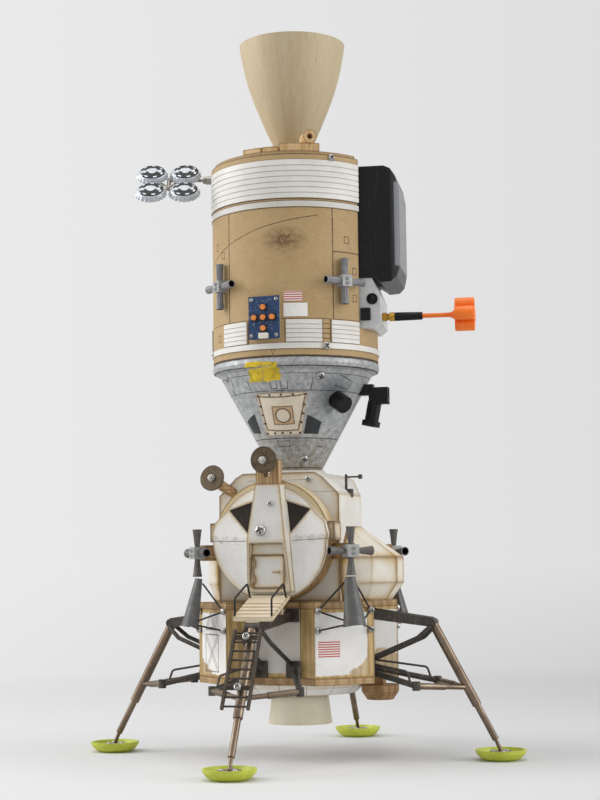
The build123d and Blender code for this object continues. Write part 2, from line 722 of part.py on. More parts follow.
service_blocks = []
service_bells = []
quad_face = service_radius + quad_stand
quad_axis = quad_face - quad_half + 0.7
for azimuth in service_quads:
    body = block(-quad_half, quad_half, -quad_face, -service_radius + 8, service_quad_z - quad_half,
                 service_quad_z + quad_half)
    service_blocks.append(turn(body - full_tube, azimuth))
    for x, z in ((0, 1), (0, -1), (1, 0), (-1, 0)):
        bell = nozzle((x * 4, -quad_axis, service_quad_z + z * 4), (x, 0, z), 17.0, 2.6, 3.7, 2.9)
        service_bells.append(turn(less(bell, body), azimuth))
save("service_thruster_blocks", *service_blocks)
save("service_thrusters", *service_bells)

# Control board: a backing cut to the tube, the board and its buttons
half_w = board_size[0] / 2
half_h = board_size[1] / 2
board_back = service_radius + board_stand
board_front = board_back + board_thick
switch_front = board_front + switch_rise
backing = block(-half_w + 1, half_w - 1, -board_back, -service_radius + 8, board_z - half_h + 2,
                board_z + half_h - 1)
circuit = less(backing, full_tube)
circuit = circuit + block(-half_w, half_w, -board_front, -board_back, board_z - half_h, board_z + half_h)
for x, z in buttons:
    high = board_z + z
    switch = block(x - switch_half, x + switch_half, -switch_front, -board_front, high - switch_half,
                   high + switch_half)
    button_end = (x, -switch_front - button_rise, high)
    circuit = circuit + switch + rod((x, -switch_front + 0.4, high), button_end, button_radius)
save("control_board", less(turn(circuit, board_azimuth), white_ring))

# Battery in its bay, sliding up out of the shoe
battery_back = bay_depth + rail_thick + battery_gap
# columns: distance out from the battery's back, height above its foot
battery_side = [(0, 0), (39, 0), (46, -4.9), (55.5, -4.2), (60.5, 0.4), (63.5, 12), (63.5, 82), (60.5, 94.5),
                (56, 101.3), (50, 104.1), (0, 104.1)]
# columns: half width, distance out from the battery's back
battery_plan = [(30, 0), (30, 16), (37.5, 20), (37.5, 57.5), (35.4, 61.2), (31, 63.5)]
side_outline = [(-battery_back - out, battery_low + up) for out, up in battery_side]
plan_outline = mirrored([(half, -battery_back - out) for half, out in battery_plan])
battery = sideways(side_outline, -50, 50) & upright(plan_outline, battery_low - 20, battery_low + 130)
save("battery", turn(battery, bay_azimuth))

holder_top = battery_low - holder_gap
holder_front = -service_radius - holder_stand
rail_front = -bay_depth - rail_thick
shoe = block(-30, 30, rail_front, -bay_depth, bay_floor, holder_top + 61)
holder = [(rail_front + 0.5, bay_floor), (holder_front + 6, bay_floor), (holder_front, bay_floor + 5),
          (holder_front, holder_top - 17), (holder_front + 7.4, holder_top), (rail_front + 0.5, holder_top)]
shoe = shoe + sideways(holder, -37, 22)
save("battery_shoe", turn(shoe, bay_azimuth))

whip_outline = [(0, holder_front, 0)] + [(r, holder_front - out, 0) for out, r in whip_steps]
whip_outline.append((0, holder_front - whip_steps[-1][0], 0))
whip = revolve(make_face(Polyline(*whip_outline, close=True)), axis=Axis.Y)
save("whip_antenna", turn(Pos(whip_x, 0, whip_z) * whip, bay_azimuth))

# Four-cap antenna on a boom that rolls in its collar
collar_front = service_radius + collar_stand
flange_back = collar_front + flange_gap
boom_collar = rod((0, -collar_front, boom_z), (0, -service_radius + 8, boom_z), 4.0)
collar_hole = rod((0, -collar_front - 5, boom_z), (0, -service_radius + 20, boom_z), boom_radius + boom_clear)
save("boom_collar", less(turn(boom_collar - collar_hole, boom_azimuth), tube, deck, *bands))
boom = rod((0, -service_radius - 3, boom_z), (0, -boom_reach, boom_z), boom_radius)
boom = boom + rod((0, -flange_back, boom_z), (0, -flange_back - 2.7, boom_z), 3.4)
# the caps' own X looks out of them, and their middle hangs below the boom's end
caps_place = Pos(0, -boom_reach, boom_z) * Rot(0, -cap_tilt, 0) * Pos(0, 0, -cap_drop)
boom_parts = [boom, caps_place * rod((0, 0, cap_drop + 2.3), (0, 0, 0), 2.0), caps_place * Sphere(2.9)]
for slope, thick in ((1, 1.45), (-1, 1.3)):
    low_end = (0.3, -cap_pitch, -slope * cap_pitch)
    high_end = (0.3, cap_pitch, slope * cap_pitch)
    boom_parts.append(caps_place * rod(low_end, high_end, thick))
cap_solid = Rot(0, 90, 0) * Cone(cap_radius, cap_radius - 2.6, 6, align=floor_align)
caps = []
for a, b in ((1, 1), (1, -1), (-1, 1), (-1, -1)):
    y = a * cap_pitch
    z = b * cap_pitch
    caps.append(caps_place * Pos(3.0, y, z) * cap_solid)
    boom_parts.append(caps_place * rod((-1.8, y, z), (3.0, y, z), 2.2))
save("cap_boom", turn(joined(boom_parts), boom_azimuth))
save("boom_caps", *[turn(cap, boom_azimuth) for cap in caps])
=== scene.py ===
import math
import bmesh
import bpy
import numpy as np
from mathutils import Matrix, Vector


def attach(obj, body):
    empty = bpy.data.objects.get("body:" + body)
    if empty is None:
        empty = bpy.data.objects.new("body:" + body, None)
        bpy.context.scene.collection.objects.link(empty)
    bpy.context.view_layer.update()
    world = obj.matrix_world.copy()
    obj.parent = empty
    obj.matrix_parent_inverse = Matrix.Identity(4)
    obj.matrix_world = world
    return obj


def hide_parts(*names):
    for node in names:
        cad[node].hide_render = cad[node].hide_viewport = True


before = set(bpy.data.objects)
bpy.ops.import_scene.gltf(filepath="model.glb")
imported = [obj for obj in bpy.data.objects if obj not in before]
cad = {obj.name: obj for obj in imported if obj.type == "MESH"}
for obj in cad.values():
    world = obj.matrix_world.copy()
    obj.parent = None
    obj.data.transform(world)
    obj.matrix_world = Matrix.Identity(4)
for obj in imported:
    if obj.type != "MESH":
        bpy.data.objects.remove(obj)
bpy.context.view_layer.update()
print("frame loaded:", len(cad), "pieces")

mm = 0.001
tubeRadius = 77.5
coneFoot = (22.8, 262)    # radius and height of the command cone's small end
coneSlope = 49.2 / 90     # growth of its radius with height
flatRadius = 60           # where the skins of the cone and the bottom dish are laid flat
diagonals = (45, 135, 225, 315)
tubeDiagonals = (51.5, 141.5, 231.5, 321.5)
legs = (0, 90, 180, 270)
boardFacing = -2
bayFacing = 99
cosine45 = 0.7071
origin = (0, 0, 0)
up = (0, 0, 1)
rightHand = (0.949, 0.314, 0)    # the photo camera's right


# Shader nodes, and fields: shader values that can be reckoned with

def tone(code):
    # six hex digits as they look on screen, made linear for a shader
    parts = [int(code[i:i + 2], 16) / 255 for i in (0, 2, 4)]
    return tuple(p / 12.92 if p <= 0.04045 else ((p + 0.055) / 1.055) ** 2.4 for p in parts) + (1,)


def setInputs(tree, made, inputs):
    # an input, told by its name or its place in the row, gets a value or a link from a field
    for key, value in inputs.items():
        if isinstance(value, Field):
            tree.links.new(value.socket, made.inputs[key])
        else:
            made.inputs[key].default_value = value


def addNode(tree, kind, inputs=None, **settings):
    # a node of this kind, with its settings and inputs
    made = tree.nodes.new("ShaderNode" + kind)
    for name, value in settings.items():
        setattr(made, name, value)
    setInputs(tree, made, inputs or {})
    return made


def field(tree, kind, inputs=None, out=0, **settings):
    # one output of a new node, as a field
    return Field(tree, addNode(tree, kind, inputs, **settings).outputs[out])


class Field:
    # arithmetic and the methods below add nodes to the field's own tree

    def __init__(self, tree, socket):
        self.tree = tree
        self.socket = socket

    def math(self, operation, other=0):
        return field(self.tree, "Math", {0: self, 1: other}, operation=operation)

    def __add__(self, other):
        return self.math("ADD", other)

    def __sub__(self, other):
        return self.math("SUBTRACT", other)

    def __rsub__(self, other):
        return field(self.tree, "Math", {0: other, 1: self}, operation="SUBTRACT")

    def __mul__(self, other):
        return self.math("MULTIPLY", other)

    def __abs__(self):
        return self.math("ABSOLUTE")

    def least(self, other):
        return self.math("MINIMUM", other)

    def most(self, *others):
        # the highest of this field and the others
        made = self
        for other in others:
            made = made.math("MAXIMUM", other)
        return made

    def ramp(self, low, high, toLow=0, toHigh=1):
        # a straight ramp from low to high, held at both ends
        inputs = dict(enumerate((self, low, high, toLow, toHigh)))
        return field(self.tree, "MapRange", inputs, clamp=True)

    def fall(self, low, high, start=1):
        # a ramp downwards, from start to 0
        return self.ramp(low, high, start, 0)

    def between(self, low, high):
        # low where this field is 0, high where it is 1
        return self.ramp(0, 1, low, high)

    def vector(self, operation, other, out=0):
        return field(self.tree, "VectorMath", {0: self, 1: other}, out, operation=operation)

    def scaled(self, *factors):
        return self.vector("MULTIPLY", factors)

    def along(self, direction):
        # the dot product: how far along a direction, times its length
        return self.vector("DOT_PRODUCT", direction, "Value")

    def distance(self, point):
        return self.vector("DISTANCE", point, "Value")

    def axes(self):
        made = addNode(self.tree, "SeparateXYZ", {"Vector": self})
        return [Field(self.tree, out) for out in made.outputs]

    def noise(self, size, detail=4, rough=0.5):
        inputs = {"Vector": self, "Scale": size, "Detail": detail, "Roughness": rough}
        return field(self.tree, "TexNoise", inputs, "Fac")

    def blend(self, a, b):
        # from a to b by this field; either is a colour or the code of a tone
        a, b = (tone(c) if isinstance(c, str) else c for c in (a, b))
        return field(self.tree, "Mix", {0: self, 6: a, 7: b}, 2, data_type="RGBA", clamp_result=True)

    def layers(self, *rows):
        # each row lays one tone over this colour: where the mask says, how strongly, and its code
        colour = self
        for mask, strength, code in rows:
            colour = (mask * strength).blend(colour, code)
        return colour


def startGroup(name, inputs, outputs):
    # an input with a number is a number, one with None a vector
    group = bpy.data.node_groups.new(name, "ShaderNodeTree")
    for label, value in inputs.items():
        kind = "NodeSocketVector" if value is None else "NodeSocketFloat"
        socket = group.interface.new_socket(name=label, in_out="INPUT", socket_type=kind)
        if value is not None:
            socket.default_value = value
    for label in outputs:
        group.interface.new_socket(name=label, in_out="OUTPUT", socket_type="NodeSocketFloat")
    given = group.nodes.new("NodeGroupInput").outputs
    return group, {label: Field(group, given[label]) for label in inputs}


def endGroup(group, **results):
    # links each result to the output of its name
    setInputs(group, group.nodes.new("NodeGroupOutput"), results)
    return group


def useGroup(tree, group, **inputs):
    # the group placed in a tree; its outputs come back as fields, by name
    made = addNode(tree, "Group", inputs, node_tree=group)
    return {out.name: Field(tree, out) for out in made.outputs}


# Shared shader groups

def makeBurntEdge():
    # lean of the rounded normal from the flat one: a narrow line on the arris and a wide stain beside it
    inputs = {"Reach": 0.004, "Ragged": 0.6, "Grain": 260, "Gain": 1}
    group, given = startGroup("burntEdge", inputs, ["Line", "Stain"])
    place = field(group, "TexCoord", None, "Object")
    flat = field(group, "NewGeometry", None, "Normal")
    rounded = field(group, "Bevel", {"Radius": given["Reach"]}, samples=6)
    lean = 1 - rounded.along(flat)
    uneven = (place.noise(given["Grain"]) - 0.5) * 3
    worn = lean * (uneven * given["Ragged"] + 1) * given["Gain"]
    return endGroup(group, Line=worn.ramp(0.09, 0.22), Stain=worn.ramp(0.001, 0.15))


def makeGrain():
    # wood that runs along the vector's Z: long fibres, wavy bands and short dark pores
    inputs = {"Vector": None, "Fibres": 900, "Bands": 70}
    group, given = startGroup("woodGrain", inputs, ["Tone", "Pores", "Height"])
    along = given["Vector"].scaled(1, 1, 0.06)
    fibres = along.noise(given["Fibres"], 5, 0.62)
    waves = {"Vector": along, "Scale": given["Bands"], "Distortion": 7, "Detail": 3, "Detail Scale": 1.6}
    bands = field(group, "TexWave", waves, "Fac", wave_type="BANDS", bands_direction="DIAGONAL")
    mixed = fibres * 0.62 + bands * 0.38
    pores = given["Vector"].scaled(1, 1, 0.12).noise(given["Fibres"] * 1.7, 2)
    return endGroup(group, Tone=mixed.ramp(0.28, 0.72), Pores=pores.ramp(0.60, 0.72), Height=mixed)


def makeCoat():
    # hand-brushed paint: broad clouds, fine tooth, grime that gathers in patches and tiny specks
    inputs = {"Vector": None, "Scale": 40}
    group, given = startGroup("brushedCoat", inputs, ["Cloud", "Grime", "Specks", "Height"])
    place = given["Vector"]
    cloud = place.noise(given["Scale"], 5, 0.6)
    tooth = place.scaled(1, 1, 0.3).noise(1100, 3)
    grime = place.noise(given["Scale"] * 2.6, 8, 0.72)
    specks = place.noise(780, 1)
    return endGroup(group, Cloud=cloud.ramp(0.3, 0.7), Grime=grime.ramp(0.52, 0.74),
                    Specks=specks.ramp(0.70, 0.78), Height=tooth * 0.6 + cloud * 0.4)


def makeScuff():
    # rubbed metal or plastic: short scratches both ways and dull clouds
    inputs = {"Vector": None, "Scale": 300}
    group, given = startGroup("scuff", inputs, ["Cloud", "Scratch"])
    place = given["Vector"]
    cloud = place.noise(given["Scale"] * 0.35, 6, 0.68)
    level = place.scaled(1, 0.08, 1).noise(given["Scale"], 3)
    upward = place.scaled(1, 1, 0.07).noise(given["Scale"], 3)
    scratch = level.ramp(0.60, 0.72).most(upward.ramp(0.60, 0.72))
    return endGroup(group, Cloud=cloud.ramp(0.3, 0.72), Scratch=scratch)


def makeStroke():
    # a burnt line on a surface laid flat: the distance to the run from Start, against a wavering Width
    inputs = {"Flat": None, "Start": None, "Run": None, "Length": 0.01, "Width": 0.0006}
    group, given = startGroup("burntStroke", inputs, ["Line"])
    offset = given["Flat"].vector("SUBTRACT", given["Start"])
    along = offset.along(given["Run"]).least(given["Length"]).most(0)
    nearest = field(group, "VectorMath", {0: given["Run"], "Scale": along}, operation="SCALE")
    waver = given["Flat"].noise(420, 3).ramp(0.3, 0.7, 0.55, 1.35)
    half = given["Width"] * 0.5 * waver
    return endGroup(group, Line=offset.distance(nearest).fall(half * 0.55, half))


burntEdge = makeBurntEdge()
woodGrain = makeGrain()
brushedCoat = makeCoat()
scuff = makeScuff()
burntStroke = makeStroke()
print("shader groups made")


skins = {}


class Material:

    def __init__(self, name, pieces=""):
        self.name = name
        self.pieces = pieces.split()
        self.made = bpy.data.materials.new(name)
        self.made.use_nodes = True
        self.tree = self.made.node_tree
        self.tree.nodes.clear()
        self.shader = addNode(self.tree, "BsdfPrincipled")
        self.surface = Field(self.tree, self.shader.outputs[0])
        self.output = addNode(self.tree, "OutputMaterial", {"Surface": self.surface})
        self.place = field(self.tree, "TexCoord", None, "Object")

    def coat(self, scale):
        return useGroup(self.tree, brushedCoat, Vector=self.place, Scale=scale)

    def worn(self, scale):
        return useGroup(self.tree, scuff, Vector=self.place, Scale=scale)

    def edge(self, reach, ragged, grain, gain=1):
        return useGroup(self.tree, burntEdge, Reach=reach, Ragged=ragged, Grain=grain, Gain=gain)

    def finish(self, colour, rough, relief, metallic=0, shine=0.5):
        # relief is a bump: its height field, strength and depth
        height, strength, depth = relief
        normal = field(self.tree, "Bump", {"Height": height, "Strength": strength, "Distance": depth})
        setInputs(self.tree, self.shader, {"Base Color": colour, "Roughness": rough, "Normal": normal,
                                           "Metallic": metallic, "Specular IOR Level": shine})
        skins[self.name] = self.made
        for piece in self.pieces:
            cad[piece].data.materials.clear()
            cad[piece].data.materials.append(self.made)


def strokes(flat, paths):
    # every path is its width and its points, all in mm on the flat; the masks' highest value is kept
    lines = []
    for width, points in paths:
        for start, end in zip(points[:-1], points[1:]):
            run = Vector((end[0] - start[0], end[1] - start[1], 0))
            begin = (start[0] * mm, start[1] * mm, 0)
            made = useGroup(flat.tree, burntStroke, Flat=flat, Start=begin, Run=tuple(run.normalized()),
                            Length=run.length * mm, Width=width * mm)
            lines.append(made["Line"])
    return lines[0].most(*lines[1:])


def aroundAxis(place):
    # azimuth from the front, and height
    x, y, z = place.axes()
    return x.math("ARCTAN2", y * -1), z


def unrolled(place, radius):
    # azimuth times radius against height: a turned skin laid flat
    azimuth, z = aroundAxis(place)
    return field(place.tree, "CombineXYZ", {"X": azimuth * (radius * mm), "Y": z})


def byAzimuth(radius, points):
    # (azimuth, height) points as points of the skin laid flat
    return [(math.radians(azimuth) * radius, z) for azimuth, z in points]


def flatOn(place, centre, sideways, upward):
    # places on a face as distances along its two directions
    shifted = place.vector("SUBTRACT", tuple(c * mm for c in centre))
    return field(place.tree, "CombineXYZ", {"X": shifted.along(sideways), "Y": shifted.along(upward)})


def closed(points):
    # the path led back to its first point
    return points + points[:1]


def outward(azimuth):
    # unit direction of an azimuth: 0 is the front, 90 the viewer's right
    a = math.radians(azimuth)
    return (math.sin(a), -math.cos(a), 0)


# Plain materials

plyFinish = {"turn": (0, 0, 0), "fibres": 700, "bands": 45, "clouds": 30, "reach": 0.003,
             "layer": (0, 0, 330), "glue": 0.35, "light": "C4A67A", "dark": "9C7E53", "cloud": "B3946A",
             "pore": "7A5630", "grime": 0.35, "stain": 0.5, "line": 0.7, "rough": 0.55}


def bareWood(name, pieces, **changes):
    # grain, then dark glue lines across the layer direction, pores, grime and a burnt edge
    s = dict(plyFinish, **changes)
    m = Material(name, pieces)
    angles = tuple(math.radians(a) for a in s["turn"])
    turnedPlace = field(m.tree, "Mapping", {"Vector": m.place, "Rotation": angles}, vector_type="POINT")
    grain = useGroup(m.tree, woodGrain, Vector=turnedPlace, Fibres=s["fibres"], Bands=s["bands"])
    coat = m.coat(s["clouds"])
    edge = m.edge(s["reach"], ragged=0.8, grain=300)
    layer = (m.place.along(s["layer"]) + m.place.noise(90) * 0.4).math("FRACT")
    colour = grain["Tone"].blend(s["light"], s["dark"]).layers(
        (coat["Cloud"], 0.35, s["cloud"]),
        (layer.ramp(0.62, 0.78), s["glue"], s["pore"]),
        (grain["Pores"], 0.4, s["pore"]),
        (coat["Grime"], s["grime"], "6A4A2A"),
        (edge["Stain"], s["stain"], "9A6C34"),
        (edge["Line"], s["line"], "4A2E16"))
    rough = grain["Tone"].between(s["rough"], s["rough"] + 0.14)
    m.finish(colour, rough, (grain["Height"], 0.25, 0.0004))


bareWood("plywood", "descent_plates")
bareWood("forkPlywood", "radar_fork", layer=(300, 0, 0), glue=0.6)
bareWood("armPlywood", "thruster_arms s_band_arm", layer=(0, 0, 290), glue=0.6, turn=(90, 0, 45))
bareWood("lightPlywood", "deck_blocks", light="D6B788", dark="BF9A66", cloud="CBA878", glue=0.2)
bareWood("burntPlywood", "landing_radar", light="A98759", dark="83643D", cloud="93734A", grime=0.6,
         stain=0.7)

whiteFinish = {"clouds": 30, "reach": 0.0085, "fine": 0.0036, "raggedGrain": 170, "paint": "F0EFEC",
               "shade": "E0DEDA", "grime": 0.16, "grimeTone": "C4AE86", "stain": 0.7, "line": 0.8,
               "scorch": "D6B86E", "rub": "B68E38", "char": "5C3E1A", "rough": 0.5,
               "gain": 1.5, "woodLight": "C9AC78", "woodDark": "A38552"}


def paintedWood(name, pieces, bareArea=None, marks=None, **changes):
    # paint over wood, stained and burnt along its edges, bare where bareArea says and lined where marks says
    s = dict(whiteFinish, **changes)
    m = Material(name, pieces)
    coat = m.coat(s["clouds"])
    edge = m.edge(s["reach"], ragged=0.9, grain=s["raggedGrain"], gain=s["gain"])
    fine = m.edge(s["fine"], ragged=0.7, grain=420, gain=s["gain"])
    colour = coat["Cloud"].blend(s["paint"], s["shade"]).layers((coat["Grime"], s["grime"], s["grimeTone"]))
    if bareArea is not None:
        grain = useGroup(m.tree, woodGrain, Vector=m.place, Fibres=800, Bands=60)
        wood = grain["Tone"].blend(s["woodLight"], s["woodDark"]).layers((coat["Grime"], 0.5, "8A6030"))
        colour = bareArea(m.place).blend(colour, wood)
    patchy = m.place.noise(60, 6, 0.6).ramp(0.34, 0.62, 0.35, 1)
    colour = colour.layers(
        (coat["Specks"], 0.35, "6E5A44"),
        (edge["Stain"] * patchy, s["stain"], s["scorch"]),
        (fine["Stain"], s["stain"], s["rub"]),
        (fine["Line"], s["line"], s["char"]))
    if marks is not None:
        colour = colour.layers((marks(m.place), 0.8, "5A4029"))
    rough = coat["Cloud"].between(s["rough"], s["rough"] + 0.16)
    m.finish(colour, rough, (coat["Height"], 0.2, 0.0004))


paintedWood("stainedPaint", "cabin_side_boxes tank_bay_right tank_bay_left", paint="E6E2D8",
            shade="D5CFC0", reach=0.015, fine=0.006, stain=0.95, line=0.95, gain=4, scorch="C29A38",
            rub="A67C2A", grime=0.4)
# painted shade: the nose and hatch get a darker white than the other paint, for the shade they stand in at
# the front
paintedWood("noseShadedPaint", "cabin_nose hatch", paint="D8D7D3", shade="C8C6C1")
paintedWood("greyPaint", "aft_bay", paint="DAD8D2", shade="CBC8C0", stain=0.6)
paintedWood("dullPaint", "docking_collar", paint="DCDAD5", shade="CDCAC3", stain=0.25, line=0.35,
            reach=0.003, fine=0.0015, grime=0.1)
paintedWood("porchPaint", "porch", paint="DCCFB9", shade="CDBB9E", reach=0.002, fine=0.0011, stain=0.5,
            line=0.9)
paintedWood("nozzleCream", "descent_nozzle", paint="EFE6CF", shade="DED3B8", stain=0.2, line=0.2,
            reach=0.003, fine=0.0015, grime=0.1)

metalFinish = {"scale": 420, "reach": 0.0015, "wear": 0.35, "edge": 0.45, "edgeTone": "4A3E30",
               "metallic": 0.7, "rough": 0.34}


def rubbedMetal(name, pieces, light, dark, scratch, rings=None, **changes):
    # two tones in dull clouds, scratches, a rubbed edge, and rings where a maker of them is given
    s = dict(metalFinish, **changes)
    m = Material(name, pieces)
    worn = m.worn(s["scale"])
    edge = m.edge(s["reach"], ragged=0.5, grain=500)
    colour = worn["Cloud"].blend(light, dark).layers(
        (worn["Scratch"], s["wear"], scratch),
        (edge["Line"], s["edge"], s["edgeTone"]))
    if rings is not None:
        colour = colour.layers((rings(m.place), 0.8, s["edgeTone"]))
    rough = worn["Cloud"].between(s["rough"], s["rough"] + 0.22)
    m.finish(colour, rough, (worn["Scratch"], 0.12, 0.0002), s["metallic"])


def washerRings(place):
    # dark rings round the middle of each washer dish, told by the distance from it
    s = {"middles": ((0, -0.0956, 0.2675), (-0.0582, -0.0716, 0.2543)), "hub": (0.0048, 0.0052),
         "rings": (0.0068, 0.0090, 0.0108), "width": (0.00015, 0.00045)}
    first, second = (place.distance(middle) for middle in s["middles"])
    nearest = first.least(second)
    rings = [abs(nearest - radius).fall(*s["width"], 0.8) for radius in s["rings"]]
    return nearest.fall(*s["hub"], 0.7).most(*rings)


rubbedMetal("bronzeBar", "leg_sleeves leg_pistons leg_side_struts", "837362", "65574A", "A99A86",
            scale=130, metallic=0.85, rough=0.27)
rubbedMetal("darkBar", "leg_outriggers leg_trusses t_mast", "4E4A46", "33302D", "80684C", wear=0.5,
            edgeTone="8A8478", metallic=0.5, rough=0.42)
rubbedMetal("ladderBar", "ladder", "463C33", "2A2520", "6A5E50", edgeTone="7A6C5A", metallic=0.45,
            rough=0.45)
rubbedMetal("blackWire", "porch_rails deflector_stays", "2A2724", "161412", "4A453E", edgeTone="5A5248",
            metallic=0.4, rough=0.45)
rubbedMetal("washerSteel", "radar_dish s_band_dish", "746553", "4A4035", "94846C", washerRings, scale=700,
            edgeTone="3C342A", metallic=0.85, rough=0.3)
rubbedMetal("screwSteel", "", "C2C1BD", "93918C", "E2E0DA", scale=900, edgeTone="45423C", metallic=0.9,
            rough=0.25, edge=0.7, reach=0.0006)
rubbedMetal("brightTube", "boom_collar cap_boom", "A8A49B", "7C7870", "CFCBC2", scale=500,
            edgeTone="55514A", metallic=0.85, rough=0.32)
rubbedMetal("goldBrass", "", "C79A45", "96702C", "E6C57C", scale=700, edgeTone="5C431A", metallic=0.95,
            rough=0.26)

plasticFinish = {"scale": 300, "tooth": 1500, "wear": 0.2, "rough": 0.38, "shine": 0.5}


def mouldedPlastic(name, pieces, light, dark, scratch, **changes):
    # two tones in dull clouds, scratches, and the tooth of the mould
    s = dict(plasticFinish, **changes)
    m = Material(name, pieces)
    worn = m.worn(s["scale"])
    colour = worn["Cloud"].blend(light, dark).layers((worn["Scratch"], s["wear"], scratch))
    rough = worn["Cloud"].between(s["rough"], s["rough"] + 0.18)
    m.finish(colour, rough, (m.place.noise(s["tooth"], 2), 0.12, 0.0002), shine=s["shine"])


mouldedPlastic("neonPlastic", "footpads", "C8D046", "AEB838", "E2E88A")
mouldedPlastic("blackPlastic", "side_lens camera_bracket sighting_camera", "141415", "0D0D0E", "2A2A2D",
               tooth=2400, shine=0.22, rough=0.3)
mouldedPlastic("boreBlack", "", "171616", "0D0C0C", "2C2A29")
mouldedPlastic("panePaint", "cabin_windows", "332B25", "1E1915", "4A3E34", rough=0.5, shine=0.25)
mouldedPlastic("conePane", "", "3E4144", "2B2D30", "5A5E62", rough=0.5, shine=0.25)
mouldedPlastic("greyPlastic", "lander_thruster_blocks service_thruster_blocks", "A9A9A8", "8F9090",
               "CACBCB")
mouldedPlastic("tubeGrey", "service_thrusters", "87878A", "6C6C6F", "ABABAD")
mouldedPlastic("deflectorGrey", "plume_deflectors", "5E5D5C", "454443", "908F8E", rough=0.34)
mouldedPlastic("bellGrey", "lander_thrusters", "66635F", "4A4744", "908C87", scale=500)
mouldedPlastic("orangePlastic", "whip_antenna", "FF8420", "F86C12", "FFA662")
mouldedPlastic("paleBox", "battery_shoe", "D2D3D3", "BCBEBF", "EAECEC")
mouldedPlastic("connectorWhite", "", "E6E2D4", "CFC9B6", "F4F2EA")
mouldedPlastic("blankLabel", "", "F4F3F0", "E6E4DE", "B9B2A4", rough=0.5)
print("plain materials made")


# Materials with marks at their own places

def boxBare(place):
    # t runs along each box's face, from the leg at the front or back to the leg at the side
    # wood shows in a strip down the outer edge, on top and foot, in a worn low corner, and on the front
    # boxes on the side by the front leg too
    s = {"side": (-0.0298, -0.0294), "strip": (0.0228, 0.0233), "edge": (0.0296, 0.0299),
         "foot": (0.0772, 0.0778), "top": (0.1322, 0.1327), "corner": 0.079, "slope": 0.6}
    x, y, z = place.axes()
    t = (abs(x) - abs(y)) * cosine45
    waver = (place.noise(120, 6) - 0.5) * 0.004
    side = t.fall(*s["side"]) * y.math("LESS_THAN", 0)
    strip = (t + waver * 0.4).ramp(*s["strip"]) * t.fall(*s["edge"])
    foot = (z + waver).fall(*s["foot"])
    lean = t * s["slope"] - (z - s["corner"])
    worn = (lean + waver * 4.5).ramp(0.001, 0.003, 0, 0.85)
    return side.most(strip, foot, z.ramp(*s["top"]), worn)


def boxMarks(place):
    # a burnt triangle over a crossed frame, on the outer face of the front left box only
    s = {"left": -15, "right": 12.5, "high": 113, "low": 80, "outerFace": (0.0872, 0.0876)}
    left, right, high, low = (s[key] for key in ("left", "right", "high", "low"))
    lines = [(1.5, closed([(-5, 133), (-14.5, 117.5), (6.5, 117.5)])),
             (1, closed([(-5, 128), (-10.5, 119.5), (2, 119.5)])),
             (1.5, closed([(left, high), (right, high), (right, low), (left, low)]))]
    for shift in (-1.7, 1.7):
        lines.append((1.1, [(left + shift, high), (right + shift, low)]))
        lines.append((1.1, [(right + shift, high), (left + shift, low)]))
    flat = flatOn(place, origin, (cosine45, -cosine45, 0), up)
    return strokes(flat, lines) * place.along(outward(-45)).ramp(*s["outerFace"])


def coreBare(place):
    # a wood strip along the foot of the core's faces
    return place.axes()[2].fall(0.0785, 0.0792)


def dishMarks(place):
    # burnt lines down the bottom dish, one every 24 degrees
    lines = [(0.8, byAzimuth(flatRadius, [(a, 59), (a, 69)])) for a in range(-168, 180, 24)]
    return strokes(unrolled(place, flatRadius), lines)


def frontOn(place):
    # places seen from the front: x against height
    return flatOn(place, origin, (1, 0, 0), up)


def middleMarks(place):
    # thin drawn panel lines on the cabin's middle: right and left of the drum, and over it
    lines = [(0.5, [(30, 240), (56, 240)]), (0.5, [(-30, 240), (-56, 240)]), (0.5, [(-30, 251), (30, 251)])]
    return strokes(frontOn(place), lines)


def faceMarks(place):
    # the face's level fold, drawn on both sides of the nose and heavily rubbed
    flat = frontOn(place)
    line = strokes(flat, [(1, [(-58, 196.8), (-22, 196.2)]), (1, [(22, 196.2), (58, 197.6)])])
    rub = strokes(flat, [(9, [(-58, 198), (-24, 197)]), (9, [(24, 197), (58, 199)])])
    return line.most(rub * place.noise(130, 7, 0.7).ramp(0.42, 0.62, 0, 0.55))


def drumWoodBelowLitTop(place):
    # the drum is bare wood below a ragged height; above it a pale cream coat is painted light, standing for
    # the light that washes out the wood's top
    waver = (place.noise(70, 6) - 0.5) * 0.03
    return (place.axes()[2] + waver).ramp(0.200, 0.222, 1, 0.15)


paintedWood("facePaint", "cabin_face", None, faceMarks)
# painted light: the drum's top gets a pale cream coat instead of bare wood, for how the light washes it out
paintedWood("drumWoodLitTop", "cabin_drum", drumWoodBelowLitTop, paint="D9CDB4", shade="C4B08C", woodLight="A5804F",
            woodDark="7A5B36")
paintedWood("boxPaint", "descent_boxes", boxBare, boxMarks, reach=0.006, stain=0.5)
paintedWood("corePaint", "descent_core", coreBare, paint="DAD7D0", shade="C9C5BC", grime=0.3)
paintedWood("dishPaint", "descent_dish", None, dishMarks)
paintedWood("middlePaint", "lander_middle", None, middleMarks, paint="E4E2DC", shade="D3D0C8",
            reach=0.012, fine=0.005, gain=2.2, stain=0.7, scorch="C29C40")


